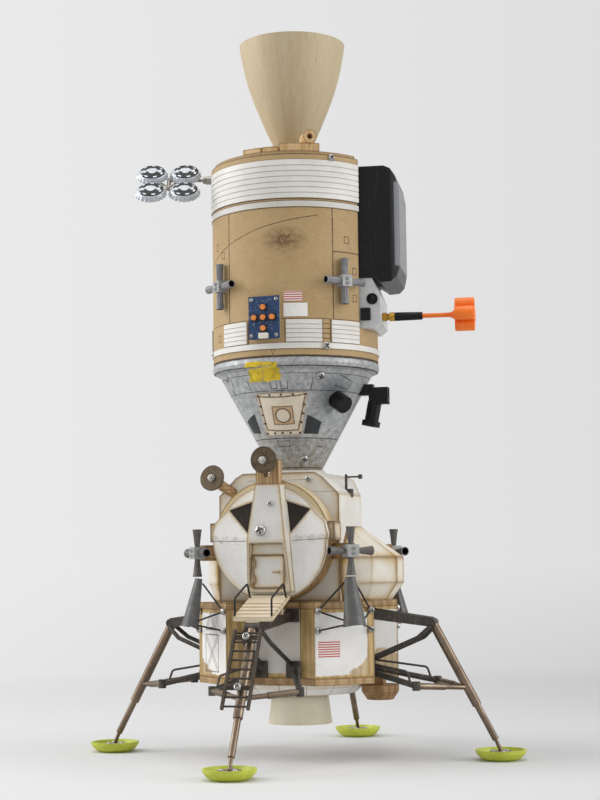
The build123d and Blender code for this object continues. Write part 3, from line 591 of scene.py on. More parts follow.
def tubePaths():
    # columns of each row: line width, then (azimuth, height) points
    paths = [(1.5, [(44.8, 457.5), (70, 457.5)]),
             (1.1, [(-66, 450), (-49, 460), (-33, 468), (-7, 479), (13, 485), (34, 490)]),
             (0.8, [(1.4, 368.2), (2.8, 362.8), (4.2, 368.2)])]
    for azimuth in (-32.6, 44.8, 140, 222):
        paths.append((1.7, [(azimuth, 396), (azimuth, 497)]))
    for z, width in ((497.2, 0.9), (503.4, 0.8), (505.2, 1.3), (546.4, 1.5), (395.4, 0.9), (362.4, 0.9)):
        paths.append((width, [(-180, z), (180, z)]))
    for azimuth in (-38.8, -15.2, 11.2, 36.8, 42.2):
        paths.append((1, [(azimuth, 374), (azimuth, 395.4)]))
    for z in (377.5, 382, 386.5, 391):
        paths.append((1.2, [(37.2, z), (41.8, z)]))
    for middle, z in ((-49, 466), (-40, 457), (56, 466), (63, 438), (63, 413), (-46, 380)):
        left = middle - 1.8
        right = middle + 1.8
        paths.append((1.1, closed([(left, z), (right, z), (right, z + 6), (left, z + 6)])))
    return [(width, byAzimuth(tubeRadius, points)) for width, points in paths]


def kraftTube():
    # card with sideways fibres, a dark smudge on the front, and burnt seams, frames and a long arc on it
    s = {"light": "B89C70", "dark": "A28558", "pale": "C4AB82", "char": "4A3018", "smudge": "563619",
         "smudgeMiddle": (0.0150, 0.4680, 0), "smudgeReach": (0.005, 0.024)}
    m = Material("kraftTube", "service_lower_ring service_tube service_deck")
    fibre = m.place.scaled(1, 1, 6).noise(260, 6, 0.7)
    coat = m.coat(26)
    edge = m.edge(0.003, ragged=0.8, grain=300)
    flat = unrolled(m.place, tubeRadius)
    away = flat.vector("SUBTRACT", s["smudgeMiddle"]).scaled(1, 1.75, 1).distance(origin)
    smudge = away.fall(*s["smudgeReach"]) * flat.noise(210, 8, 0.75).ramp(0.36, 0.54)
    colour = fibre.ramp(0.3, 0.7).blend(s["light"], s["dark"]).layers(
        (coat["Cloud"], 0.4, s["pale"]),
        (coat["Specks"], 0.5, "6E4E2C"),
        (smudge, 0.85, s["smudge"]),
        (coat["Grime"], 0.22, "7A5730"),
        (strokes(flat, tubePaths()), 0.85, s["char"]),
        (edge["Line"], 0.7, s["char"]))
    m.finish(colour, fibre.ramp(0.3, 0.7, 0.62, 0.78), (fibre, 0.18, 0.0004))


def turnedBell():
    # pale turned wood: fine upright grain lines by azimuth, faint lathe rings by height, a few dark flecks
    m = Material("turnedBell", "engine_bell")
    around, z = aroundAxis(m.place)
    upright = field(m.tree, "CombineXYZ", {"X": around, "Z": z * 1.6})
    lines = upright.noise(52, 6, 0.66)
    mixed = lines * 0.7 + upright.noise(9, 3) * 0.3
    waves = {"Vector": m.place, "Scale": 260, "Distortion": 0.6}
    rings = field(m.tree, "TexWave", waves, "Fac", wave_type="BANDS", bands_direction="Z")
    flecks = m.place.scaled(1, 1, 0.5).noise(210, 1)
    colour = mixed.ramp(0.36, 0.66).blend("CABA9A", "B4A280").layers(
        (rings, 0.06, "8E754C"),
        (flecks.ramp(0.76, 0.80), 0.7, "7E6038"))
    m.finish(colour, lines.ramp(0.3, 0.7, 0.5, 0.62), (mixed, 0.15, 0.0003))


def conePaths():
    # columns of each row: line width, then (azimuth, height) points
    paths = []
    for z, width in ((361.4, 1.2), (353, 1.2), (347, 0.7), (332.2, 0.9), (290.5, 1.2), (264.2, 0.9)):
        paths.append((width, [(-180, z), (180, z)]))
    for points in ([(31.5, 343), (30.5, 332)], [(-24, 341), (-22.5, 334)],
                   [(-42, 346), (-50, 333), (-47, 318)],
                   [(54, 346), (70, 341), (66, 334), (52, 337)],
                   [(-3, 340.5), (-3, 334), (2, 334), (2, 340.5)],
                   [(5.5, 340), (5.5, 333.5), (11, 333.5), (11, 340)],
                   [(52, 283), (60, 283), (58, 289), (54, 289)],
                   [(-11, 283), (8, 283), (8, 288), (-11, 288), (-11, 283)],
                   [(120, 346), (120, 292)], [(200, 346), (200, 292)], [(-80, 346), (-80, 292)]):
        paths.append((1, points))
    return [(width, byAzimuth(flatRadius, points)) for width, points in paths]


def silverCone():
    # silver paint in dabs: mottled greys, dark scribbles and seam lines, a smoky patch, brown dirt low down
    s = {"smoke": (0.0470, -0.0365, 0.3310), "smokeReach": (0.009, 0.024), "dirtHeight": (0.262, 0.304)}
    m = Material("silverPaint", "command_cone command_base")
    coat = m.coat(55)
    dabs = m.place.noise(210, 8, 0.72)
    edge = m.edge(0.004, ragged=0.9, grain=220)
    dirt = m.place.axes()[2].fall(*s["dirtHeight"]) * dabs.ramp(0.36, 0.60)
    colour = dabs.ramp(0.38, 0.62).blend("B9BBBC", "8A8C8E").layers(
        (coat["Cloud"], 0.3, "BBBCBD"),
        (coat["Grime"], 0.5, "5E5F62"),
        (dirt, 0.75, "84703F"),
        (m.place.distance(s["smoke"]).fall(*s["smokeReach"]), 0.6, "34383E"),
        (strokes(unrolled(m.place, flatRadius), conePaths()), 0.85, "232427"),
        (edge["Stain"], 0.35, "6C6E72"))
    m.finish(colour, dabs.ramp(0.3, 0.7, 0.4, 0.6), (dabs, 0.3, 0.0005), metallic=0.3)


# the hatch panel's own middle and directions, on the cone's skin
hatchPlace = {"azimuth": 4, "radius": 51.7, "height": 312}
coneTilt = math.atan(coneSlope)
hatchOut = Vector(outward(hatchPlace["azimuth"]))
hatchMiddle = tuple(hatchOut * hatchPlace["radius"] + Vector(up) * hatchPlace["height"])
hatchSide = outward(hatchPlace["azimuth"] + 90)
hatchUp = tuple(hatchOut * math.sin(coneTilt) + Vector(up) * math.cos(coneTilt))


def creamHatch():
    # cream panel: a burnt frame inside its border, and a tan square with a ring round its middle
    s = {"char": "5C3F24", "middle": (0.0001, -0.0020, 0), "tanHalf": (0.0090, 0.0094),
         "tanHole": (0.0066, 0.0070), "ring": 0.0068, "ringWidth": (0.0005, 0.0009)}
    m = Material("creamHatch", "command_hatch")
    coat = m.coat(40)
    edge = m.edge(0.003, ragged=0.8, grain=300)
    flat = flatOn(m.place, hatchMiddle, hatchSide, hatchUp)
    square = closed([(-9.3, 6.8), (9.5, 6.8), (9.5, -10.8), (-9.3, -10.8)])
    border = closed([(-21.2, 16.2), (22.8, 16.9), (12.4, -17.2), (-17.4, -17.2)])
    x, y = flat.vector("SUBTRACT", s["middle"]).axes()[:2]
    away = flat.distance(s["middle"])
    tan = abs(x).most(abs(y)).fall(*s["tanHalf"]) * away.ramp(*s["tanHole"])
    colour = coat["Cloud"].blend("E9DFCC", "D9CBB2").layers(
        (coat["Grime"], 0.3, "B99B6B"),
        (tan, 0.9, "C4A47A"),
        (abs(away - s["ring"]).fall(*s["ringWidth"]), 0.9, s["char"]),
        (strokes(flat, [(2.1, border), (1.5, square)]), 0.8, s["char"]),
        (edge["Stain"], 0.5, "C79E62"),
        (edge["Line"], 0.6, "6B4A2A"))
    m.finish(colour, coat["Cloud"].between(0.5, 0.64), (coat["Height"], 0.2, 0.0004))


def ribbedWhite():
    # white paint on thin slats, with painted shade in the grooves, grey where the radius is least, and grimy
    # here and there
    m = Material("ribbedWhite", "service_white_ring service_bands service_panels")
    coat = m.coat(30)
    edge = m.edge(0.001, ragged=0.8, grain=400)
    radius = m.place.scaled(1, 1, 0).distance(origin)
    colour = coat["Cloud"].blend("E6E4DF", "D8D5CE").layers(
        (coat["Grime"], 0.22, "BFB093"),
        (edge["Line"], 0.2, "8C8376"),
        # painted shade: grey where the radius is least, in the grooves between the slats
        (radius.fall(0.07825, 0.07840), 0.36, "8B8780"))
    m.finish(colour, coat["Cloud"].between(0.45, 0.6), (coat["Height"], 0.2, 0.0003))


def circuitBoard():
    # depth out of the board, measured along its facing: pale back, blue mask, black switches, orange buttons
    s = {"mask": 0.0802, "switch": 0.0820, "button": 0.0836, "past": 0.00006}
    m = Material("circuitBoard", "control_board")
    depth = m.place.along(outward(boardFacing))
    worn = m.worn(500)
    bricks = {"Vector": m.place.scaled(1, 0, 1), "Scale": 190, "Mortar Size": 0.02,
              "Color1": (0, 0, 0, 1), "Color2": (0.2, 0.2, 0.2, 1), "Mortar": (1, 1, 1, 1)}
    traces = field(m.tree, "TexBrick", bricks, "Color", offset=0.5, squash=1)
    mask = worn["Cloud"].blend("10315D", "0A2346").layers(
        (traces, 0.10, "7F9FC6"),
        (m.place.noise(520, 1).ramp(0.66, 0.69), 0.35, "B9C7DA"))
    colour = "C2B79C"
    for level, above in (("mask", mask), ("switch", "2A2826"), ("button", "E28A48")):
        colour = depth.ramp(s[level], s[level] + s["past"]).blend(colour, above)
    m.finish(colour, worn["Cloud"].between(0.34, 0.5), (worn["Scratch"], 0.1, 0.0002), shine=0.25)


def batteryCase():
    # black moulded case with a grey outer cover and a paler strip down it that is a painted highlight; reach
    # is measured out of the bay
    s = {"cover": 0.0955, "strip": 0.0990, "past": 0.0004, "foot": (0.446, 0.448), "top": (0.524, 0.526)}
    m = Material("batteryCase", "battery")
    reach = m.place.along(outward(bayFacing))
    z = m.place.axes()[2]
    worn = m.worn(360)
    edge = m.edge(0.002, ragged=0.4, grain=500)
    cover = reach.ramp(s["cover"], s["cover"] + s["past"])
    strip = reach.ramp(s["strip"], s["strip"] + s["past"]) * (z.ramp(*s["foot"]) * z.fall(*s["top"]))
    # painted highlights: the paler strip down the cover and the light grey lines along the edges
    colour = worn["Cloud"].blend("121314", "0C0D0E").layers(
        (cover, 1, "28292B"),
        (strip, 1, "7C7D80"),
        (edge["Line"], 0.4, "6C6C70"),
        (worn["Scratch"], 0.08, "6A6A70"))
    tooth = m.place.noise(2600, 2)
    m.finish(colour, worn["Cloud"].between(0.28, 0.42), (tooth, 0.08, 0.0002), shine=0.22)


def capEnamel():
    # pale enamel on pressed steel, rubbed to metal along its crimps
    m = Material("capEnamel", "boom_caps")
    worn = m.worn(600)
    edge = m.edge(0.001, ragged=0.5, grain=600)
    colour = worn["Cloud"].blend("CDD1D6", "A6ACB4").layers((edge["Line"], 0.5, "8E9094"))
    m.finish(colour, worn["Cloud"].between(0.26, 0.42), (worn["Scratch"], 0.1, 0.0002), metallic=0.35)


def plainStripes():
    # level red and white stripes, told by height
    m = Material("plainStripes")
    worn = m.worn(500)
    step = (m.place.axes()[2] * 480).math("FRACT")
    colour = step.ramp(0.47, 0.53).blend(worn["Cloud"].blend("C2494B", "AE3E42"), "EAE3DC")
    m.finish(colour, worn["Cloud"].between(0.45, 0.6), (worn["Scratch"], 0.08, 0.0002))


def yellowTape():
    # cloth tape: bright yellow, thin in places, so that grey shows through
    m = Material("yellowTape")
    thin = m.place.noise(150, 7, 0.7).ramp(0.47, 0.64)
    cloud = m.place.noise(90, 4)
    colour = cloud.ramp(0.3, 0.7).blend("E8CB1A", "D0AC10").layers((thin, 0.7, "7E7328"))
    m.finish(colour, cloud.ramp(0.3, 0.7, 0.42, 0.6), (cloud, 0.2, 0.0004))


kraftTube()
turnedBell()
silverCone()
creamHatch()
ribbedWhite()
circuitBoard()
batteryCase()
capEnamel()
plainStripes()
yellowTape()
print("patterned materials made:", len(skins), "in all")


# Shapes as whole arrays: points in metres and quads

def gridFaces(rows, columns, around):
    # quads between neighbours of a grid; around closes each row into a ring
    first = np.arange(rows * columns).reshape(rows, columns)
    second = np.roll(first, -1, axis=1)
    if not around:
        first = first[:, :-1]
        second = second[:, :-1]
    return np.stack([first[:-1], second[:-1], second[1:], first[1:]], axis=-1).reshape(-1, 4)


def lathe(profile, count, flutes=0):
    # (radius, height) rows carried round Z; a third number ripples by the cosine of flutes times angle
    rows = np.array([(*row, 0)[:3] for row in profile], float)
    angle = np.arange(count) * 2 * np.pi / count
    radius = rows[:, :1] + rows[:, 2:] * np.cos(flutes * angle)
    height = rows[:, 1:2] + 0 * radius
    points = np.stack([radius * np.cos(angle), radius * np.sin(angle), height], axis=-1)
    return points.reshape(-1, 3) * mm, gridFaces(len(rows), count, True)


def slab(front, back):
    # a sheet with a thickness: two grids of the same points, walled round their rim
    rows, columns = front.shape[:2]
    index = np.arange(rows * columns).reshape(rows, columns)
    face = gridFaces(rows, columns, False)
    rim = np.concatenate([index[0, :-1], index[:-1, -1], index[-1, :0:-1], index[:0:-1, 0]])
    after = np.roll(rim, -1)
    shift = rows * columns
    wall = np.stack([rim, rim + shift, after + shift, after], axis=-1)
    points = np.concatenate([front.reshape(-1, 3), back.reshape(-1, 3)])
    return points, np.concatenate([face, face[:, ::-1] + shift, wall])


def seat(place, normal, size=1, spin=0):
    # a frame at a place in mm whose Z leaves the surface, turned by spin and grown to size
    z = np.array(normal, float)
    z = z / np.linalg.norm(z)
    guide = np.array([0, 1, 0]) if abs(z[2]) > 0.95 else np.array(up)
    x = np.cross(guide, z)
    x = x / np.linalg.norm(x)
    y = np.cross(z, x)
    a = math.radians(spin)
    made = np.eye(4)
    made[:3, 0] = (x * math.cos(a) + y * math.sin(a)) * size
    made[:3, 1] = (y * math.cos(a) - x * math.sin(a)) * size
    made[:3, 2] = z * size
    made[:3, 3] = np.array(place, float) * mm
    return made


def copies(shape, seats):
    # the same shape at every seat, as one mesh
    points, faces = shape
    seats = np.array(seats)
    moved = np.einsum("nij,vj->nvi", seats[:, :3, :3], points) + seats[:, None, :3, 3]
    shift = np.arange(len(seats))[:, None, None] * len(points)
    return moved.reshape(-1, 3), (faces[None] + shift).reshape(-1, 4)


def together(shapes):
    # several shapes as one, each one's faces counted on from the points before it
    points = []
    faces = []
    count = 0
    for shapePoints, shapeFaces in shapes:
        points.append(shapePoints)
        faces.append(shapeFaces + count)
        count = count + len(shapePoints)
    return np.concatenate(points), np.concatenate(faces)


def addPiece(name, shape, skinNames, body="lander", replaced=(), crease=34, faceSkin=None):
    # a mesh from arrays: doubles merged so that poles close, faces turned outwards, soft except at creases
    points, faces = shape
    mesh = bpy.data.meshes.new(name)
    mesh.from_pydata(points.tolist(), [], faces.tolist())
    if faceSkin is not None:
        mesh.polygons.foreach_set("material_index", faceSkin)
    work = bmesh.new()
    work.from_mesh(mesh)
    bmesh.ops.remove_doubles(work, verts=work.verts, dist=1e-6)
    bmesh.ops.recalc_face_normals(work, faces=work.faces)
    work.to_mesh(mesh)
    work.free()
    mesh.polygons.foreach_set("use_smooth", np.ones(len(mesh.polygons), bool))
    mesh.set_sharp_from_angle(angle=math.radians(crease))
    for skinName in skinNames.split():
        mesh.materials.append(skins[skinName])
    piece = bpy.data.objects.new(name, mesh)
    bpy.context.scene.collection.objects.link(piece)
    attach(piece, body)
    if replaced:
        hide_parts(*replaced)


def turned(azimuth, point):
    # a point or direction built facing the front, carried round to its azimuth
    a = math.radians(azimuth)
    x, y, z = point
    return np.array([x * math.cos(a) - y * math.sin(a), x * math.sin(a) + y * math.cos(a), z])


def coneRadius(z):
    # grows evenly with height
    return coneFoot[0] + (z - coneFoot[1]) * coneSlope


def coneSeat(azimuth, z, lift, size=1, spin=0):
    # a seat on the cone's skin, lifted off it
    normal = np.array(outward(azimuth)) * math.cos(coneTilt) - np.array(up) * math.sin(coneTilt)
    return seat(turned(azimuth, (0, -coneRadius(z) - lift, z)), normal, size, spin)


def facingSeat(azimuth, point, size=1, spin=0):
    # a seat on an upright face that looks towards an azimuth, its place built facing the front
    return seat(turned(azimuth, point), outward(azimuth), size, spin)


# Screws, pins and nuts

def screwHead():
    # a unit dome, its height falling with the square of the radius, sunk by a cross in its middle
    s = {"segments": 32, "slotHalf": 0.15, "slotReach": 0.62, "sink": 0.55}
    share = np.array([1, 1, 0.95, 0.82, 0.66, 0.60, 0.45, 0.28, 0.12, 0])[:, None]
    height = np.array([-0.35, 0.22, 0.36, 0.50, 0.58, 0.60, 0.65, 0.68, 0.70, 0.70])[:, None]
    angle = np.arange(s["segments"]) * 2 * np.pi / s["segments"]
    x = share * np.cos(angle)
    y = share * np.sin(angle)
    slotted = (np.minimum(abs(x), abs(y)) < s["slotHalf"]) & (share < s["slotReach"])
    z = np.where(slotted, height - s["sink"], height)
    return np.stack([x, y, z], axis=-1).reshape(-1, 3) * mm, gridFaces(len(share), s["segments"], True)


def makeScrews():
    # domed cross-head screws: single ones first, then rows on each surface
    noseOut = (0, -0.994, 0.11)
    ladderOut = (0, -0.881, 0.474)
    seats = [seat((-4.8, -91.2, 205.3), noseOut, 5, 20), seat((3.4, -88.6, 229.2), noseOut, 2.6, 50),
             seat((29, -56.1, 251.7), (0, -1, 0), 3, 10), seat((0, -144.6, 114.9), ladderOut, 3.3, 30),
             seat((0, -166.5, 74.1), ladderOut, 3.3, 65)]
    # upright turned skins; columns: azimuth, radius, height, screw radius
    for azimuth, radius, z, size in ((44.5, 78.2, 543.8, 3.2), (38.7, 78.8, 370.7, 3.6),
                                     (-59.5, 78.8, 371, 2.3), (160, 78.8, 371, 2.3),
                                     (205, 78.2, 543.8, 3.2)):
        seats.append(facingSeat(azimuth, (0, -radius, z), size, azimuth))
    # the cone; columns: azimuth, height, screw radius
    for azimuth, z, size in ((37, 344.7, 4), (31.5, 272, 3.4), (-49.5, 346.5, 2.6), (170, 340, 4)):
        seats.append(coneSeat(azimuth, z, 0.1, size, z))
    # the board's corners, the boxes' faces, the foot plates and the back
    for x in (-11.9, 11.9):
        for z in (380.2, 412.8):
            seats.append(facingSeat(boardFacing, (x, -81.95, z), 1.7, x))
    for azimuth in diagonals:
        for t in (-26.5, 26.5):
            for z in (134, 117):
                seats.append(facingSeat(azimuth, (t, -90, z), 2.9, t + z))
    for azimuth in legs:
        for t, y in ((-6.2, -190.5), (6.2, -190.5), (0, -179.8)):
            seats.append(seat(turned(azimuth, (t, y, 8.05)), up, 2, t * 9))
    for x in (-32, 32):
        for z in (157, 219):
            seats.append(seat((x, 64.05, z), (0, 1, 0), 2.4, z))
    addPiece("screw_heads", copies(screwHead(), seats), "screwSteel")


def hatchSpot(x, rise):
    # azimuth and height of a place told by the cream panel's own two directions
    flat = np.array(hatchMiddle) + np.array(hatchSide) * x + np.array(hatchUp) * rise
    return math.degrees(math.atan2(flat[0], -flat[1])), flat[2]


def makePins():
    # small round pins in the panel's border: three on each side, one in each corner
    pin = lathe([(0, -0.3), (1.05, -0.3), (1.05, 0.45), (0.7, 0.9), (0, 1)], 12)
    corners = np.array([(-23.2, 18.4), (25, 19), (13.9, -19.3), (-19.1, -19.2)])
    after = np.roll(corners, -1, axis=0)
    spots = np.concatenate([corners * (1 - share) + after * share for share in (0, 0.27, 0.5, 0.73)])
    seats = [coneSeat(*hatchSpot(*spot), 1.6) for spot in spots]
    addPiece("panel_pins", copies(pin, seats), "ladderBar")


def makeNuts():
    # a hexagon nut on a small washer, with the end of its screw standing out of it
    nut = lathe([(0, -0.4), (3.6, -0.4), (3.6, 0.5), (2.9, 0.5, 0.25), (2.9, 2.2, 0.25), (2.4, 2.6),
                 (1.4, 2.6), (1.4, 3.6), (1, 4), (0, 4)], 36, 6)
    radar = seat((-0.6, -95.6, 267.3), (0, -1, 0))
    addPiece("radar_nut", copies(nut, [radar]), "screwSteel", "radar")
    sideDish = seat((-58.3, -71.7, 254.1), (-0.12, -0.98, 0.18))
    addPiece("side_dish_nut", copies(nut, [sideDish]), "screwSteel")


# Thruster bells, studs, caps and the whip

def bellShape(s):
    # fluted outside from throat to mouth, a plain collar at the mouth, then back down the bore
    start, end, throat = (s[key] for key in ("start", "end", "throat"))
    mouth, bore, ripple = (s[key] for key in ("mouth", "bore", "ripple"))
    rows = [(0, start), (throat * 0.9, start), (throat, start + 0.6)]
    for share in (0.08, 0.16, 0.5, 0.84):
        rows.append((throat + (mouth - throat) * share - ripple, start + (end - start) * share, ripple))
    rows.extend([(mouth - 0.15, end - 1.9), (mouth, end - 1.6), (mouth, end - 0.2), (mouth - 0.2, end),
                 (bore, end)])
    outside = len(rows) - 1
    rows.extend([(bore * 0.96, end - 1), (bore * 0.6, end - 8), (0, end - 8)])
    shape = lathe(rows, s["flutes"] * 4, s["flutes"])
    strip = np.arange(len(shape[1])) // (s["flutes"] * 4)
    return shape, np.where(strip < outside, 0, 1)


def makeBells():
    # four bells on every block: up, down and to both sides
    lander = {"start": 5.5, "end": 21.4, "throat": 2.3, "mouth": 4.2, "bore": 3.3, "ripple": 0.16,
              "flutes": 12, "azimuths": diagonals, "middle": (0, -102.5, 186.5), "skin": "bellGrey"}
    service = {"start": 5.2, "end": 20.9, "throat": 3, "mouth": 3.7, "bore": 2.9, "ripple": 0.2,
               "flutes": 10, "azimuths": tubeDiagonals, "middle": (0, -82.6, 430), "skin": "tubeGrey"}
    for name, node, s in (("lander_bells", "lander_thrusters", lander),
                          ("service_bells", "service_thrusters", service)):
        shape, skin = bellShape(s)
        seats = [seat(turned(azimuth, s["middle"]), turned(azimuth, direction))
                 for azimuth in s["azimuths"] for direction in (up, (0, 0, -1), (1, 0, 0), (-1, 0, 0))]
        addPiece(name, copies(shape, seats), s["skin"] + " boreBlack", replaced=(node,),
                 faceSkin=np.tile(skin, len(seats)))


def makeStuds():
    # two small hollow studs on the outer face of every thruster block
    stud = lathe([(0, -0.3), (1.7, -0.3), (1.7, 1.1), (1.5, 1.3), (1, 1.3), (0.9, 0.4), (0, 0.4)], 16)
    rings = ((diagonals, 108, (184.3, 188.7)), (tubeDiagonals, 87.1, (427.8, 432.2)))
    seats = [facingSeat(azimuth, (0, -radius, z))
             for azimuths, radius, heights in rings for azimuth in azimuths for z in heights]
    addPiece("block_studs", copies(stud, seats), "greyPlastic")


def makeCaps():
    # crown caps: a flat top rolled into a skirt that flares in 21 crimps, hollow, each on a short stem
    s = {"crimps": 21, "pitch": 15.8, "base": 3, "drop": 13, "tilt": 46, "reach": 118.5,
         "height": 540, "azimuth": -71}
    count = s["crimps"] * 6
    crown = lathe([(0, 5.95), (3.5, 5.95), (6, 5.95), (9, 5.95), (10.8, 5.8), (12.2, 5.3),
                   (13.1, 4.3, 0.05), (13.6, 3, 0.25), (14.2, 1.6, 0.5), (14.75, 0.2, 0.6),
                   (14.35, 0.05, 0.6), (13.6, 1.6, 0.5), (13, 3, 0.25), (12.5, 4.2), (11.6, 4.9),
                   (10.4, 5.3), (2.2, 5.4), (2.2, 0), (0, 0)], count, s["crimps"])
    hang = Matrix.Rotation(math.radians(s["azimuth"]), 4, "Z")
    hang = hang @ Matrix.Translation((0, -s["reach"], s["height"]))
    hang = hang @ Matrix.Rotation(-math.radians(s["tilt"]), 4, "Y") @ Matrix.Translation((0, 0, -s["drop"]))
    seats = []
    for y in (s["pitch"], -s["pitch"]):
        for z in (s["pitch"], -s["pitch"]):
            spot = hang @ Matrix.Translation((s["base"], y, z)) @ Matrix.Rotation(math.pi / 2, 4, "Y")
            made = np.array(spot)
            made[:3, 3] = made[:3, 3] * mm
            seats.append(made)
    # dark enamel in broken rings on the top: each ring has its own number of gaps
    strip, column = np.divmod(np.arange(len(crown[1])), count)
    angle = column * 2 * np.pi / count
    dark = np.zeros(len(strip), bool)
    for ring, gaps, turn, least in ((1, 1, 0, 0), (2, 2, 0, -0.8), (3, 7, 1, -0.4), (4, 1, -1, -0.3)):
        dark = dark | ((strip == ring) & (np.cos(gaps * angle + turn) > least))
    addPiece("crown_caps", copies(crown, seats), "capEnamel blackPlastic", "cap_antenna",
             ("boom_caps",), faceSkin=np.tile(np.where(dark, 1, 0), len(seats)))


def makeWhip():
    # gold connector with two six-sided nuts, black sleeve, orange rod, and a four-lobed head
    s = {"root": (-22, -85, 401.5), "count": 60, "head": 76, "lobe": 15.4, "sleeveRow": 9, "rodRow": 15}
    stalk = lathe([(0, -0.4), (3.3, -0.4), (3.3, 0.6), (3.9, 0.8, 0.3), (3.9, 4.4, 0.3), (3, 4.8),
                   (3, 6.4), (4, 6.8, 0.25), (4, 11.4, 0.25), (3.3, 12), (3.95, 12), (4, 12.8),
                   (3.85, 24), (3.6, 36.4), (3.2, 37.2), (2.1, 37.2), (2.1, 61.4), (2.7, 63.9),
                   (4.4, 66.8), (4.4, 69.4), (0, 69.4)], s["count"], 6)
    # the head's rows are a share of the lobed radius and a place along the whip
    share, along = np.array([(0, -7.2), (0.4, -7.2), (0.7, -7.8), (0.9, -8.9), (0.97, -8.9), (1, -8),
                             (1, 0), (1, 8), (0.97, 8.9), (0.9, 8.9), (0.7, 7.8), (0.4, 7.2),
                             (0, 7.2)]).T
    angle = np.arange(s["count"] * 2) * np.pi / s["count"]
    radius = share[:, None] * s["lobe"] * (0.42 + 0.58 * np.abs(np.cos(2 * angle)) ** 0.55)
    height = s["head"] + along[:, None] + 0 * radius
    head = np.stack([radius * np.cos(angle), radius * np.sin(angle), height], axis=-1).reshape(-1, 3) * mm
    shape = together([stalk, (head, gridFaces(len(share), len(angle), True))])
    strip = np.arange(len(stalk[1])) // s["count"]
    skin = np.where(strip < s["sleeveRow"], 0, np.where(strip < s["rodRow"], 1, 2))
    skin = np.concatenate([skin, np.full(len(shape[1]) - len(skin), 2)])
    addPiece("whip_aerial", copies(shape, [facingSeat(bayFacing, s["root"])]),
             "goldBrass blackPlastic orangePlastic", replaced=("whip_antenna",),
             crease=40, faceSkin=skin)


# Thin sheets bent on the tube and the cone, and small fittings

def bentSheet(corners, radiusAt, thick, wave=0):
    # (azimuth, height) blended between four corners, at the skin's radius
    # a wave lifts the middle and frays the rim
    u, v = np.meshgrid(np.linspace(0, 1, 17), np.linspace(0, 1, 13))
    spots = np.array(corners, float)
    top = spots[0] + (spots[1] - spots[0]) * u[..., None]
    foot = spots[3] + (spots[2] - spots[3]) * u[..., None]
    flat = top + (foot - top) * v[..., None]
    fray = wave * np.sin(23 * u + 3) * np.sin(17 * u) * np.abs(2 * v - 1) ** 8
    azimuth = np.radians(flat[..., 0] + 2.5 * wave * np.sin(19 * v) * np.abs(2 * u - 1) ** 8)
    z = flat[..., 1] + fray
    lift = thick + 0.25 * wave * (1 + np.sin(9 * u + 5 * v)) * (1 - (2 * u - 1) ** 4)
    grids = []
    for radius in (radiusAt(z) + lift, radiusAt(z) - 0.1):
        grids.append(np.stack([np.sin(azimuth) * radius, -np.cos(azimuth) * radius, z], axis=-1) * mm)
    return slab(*grids)


def tubeSkin(z):
    # the same radius at every height
    return tubeRadius + 0 * z


def tapeSkin(z):
    # the cone, then the ring round its base
    ringFoot = 352
    ring = np.interp(z, [ringFoot, 353.5, 356.5, 360], [74, 77.3, 78.3, 77.8])
    return np.where(z < ringFoot, coneRadius(z), ring)


def makeSheets():
    # panel, panes, tape, plate and stripes, bent to the skins they lie on
    panel = [hatchSpot(*c) for c in ((-25.4, 20.4), (27.4, 21.2), (15.4, -21.4), (-20.8, -21.2))]
    panes = [[(29.8, 310.8), (47.5, 304.6), (46.8, 294.2), (27.4, 294.1)],
             [(-31.6, 313), (-54.5, 307.5), (-53, 297), (-34.4, 295.9)],
             [(150, 312), (176, 312), (172, 297), (154, 297)]]
    tapes = [[(-17.6, 357.6), (-6, 357.6), (-8.4, 340.2), (-21, 340.7)],
             [(-5.8, 357.2), (5, 356.2), (6.8, 341.6), (-7.6, 340)]]
    plate = [(10.4, 409.4), (26.4, 409.4), (26.4, 397.2), (10.4, 397.2)]
    bars = [(10.6, 420.2), (23, 420.2), (23, 411.2), (10.6, 411.2)]
    # columns: name, four corners of each sheet, radius of the skin, thickness, wave, material, slot
    sheets = [("cream_panel", [panel], coneRadius, 1.6, 0, "creamHatch", "cream_wood"),
              ("cone_panes", panes, coneRadius, 0.4, 0, "conePane", "black_pane"),
              ("cone_tape", tapes, tapeSkin, 0.35, 0.35, "yellowTape", "orange_plastic"),
              ("tube_plate", [plate], tubeSkin, 0.5, 0, "blankLabel", "white_paint"),
              ("tube_stripes", [bars], tubeSkin, 0.3, 0, "plainStripes", "white_paint")]
    for name, outlines, skin, thick, wave, material, slotName in sheets:
        shape = together([bentSheet(corners, skin, thick, wave) for corners in outlines])
        replaced = ("command_hatch",) if name == "cream_panel" else ()
        addPiece(name, shape, material, replaced=replaced)
    # flat stripes on the front right box, from just inside its face to just outside
    azimuth = diagonals[0]
    u, z = np.meshgrid(np.linspace(-26, -4.5, 12), np.linspace(108, 93.4, 9))
    flat = u[..., None] * turned(azimuth, (1, 0, 0)) + z[..., None] * np.array(up)
    front, back = ((flat + np.array(outward(azimuth)) * depth) * mm for depth in (88.3, 87.9))
    addPiece("box_stripes", slab(front, back), "plainStripes")


def roundedBlock(width, depth, height, corner):
    # a rounded rectangle carried up Z: the corner's circle swept round four centres, drawn in at the top
    angle = np.arange(24) * np.pi / 12
    x = np.sign(np.cos(angle + 0.01)) * (width / 2 - corner)
    y = np.sign(np.sin(angle + 0.01)) * (depth / 2 - corner)
    # columns: share of the centres' distance, height, share of the corner's radius
    rows = np.array([(0, 0, 0), (1, 0, 1), (1, height - 0.4, 1), (1, height, 0.55), (0, height, 0)])
    share = rows[:, :1]
    reach = rows[:, 2:] * corner
    points = np.stack([share * x + reach * np.cos(angle), share * y + reach * np.sin(angle),
                       rows[:, 1:2] + 0 * share * x], axis=-1)
    return points.reshape(-1, 3) * mm, gridFaces(len(rows), len(angle), True)


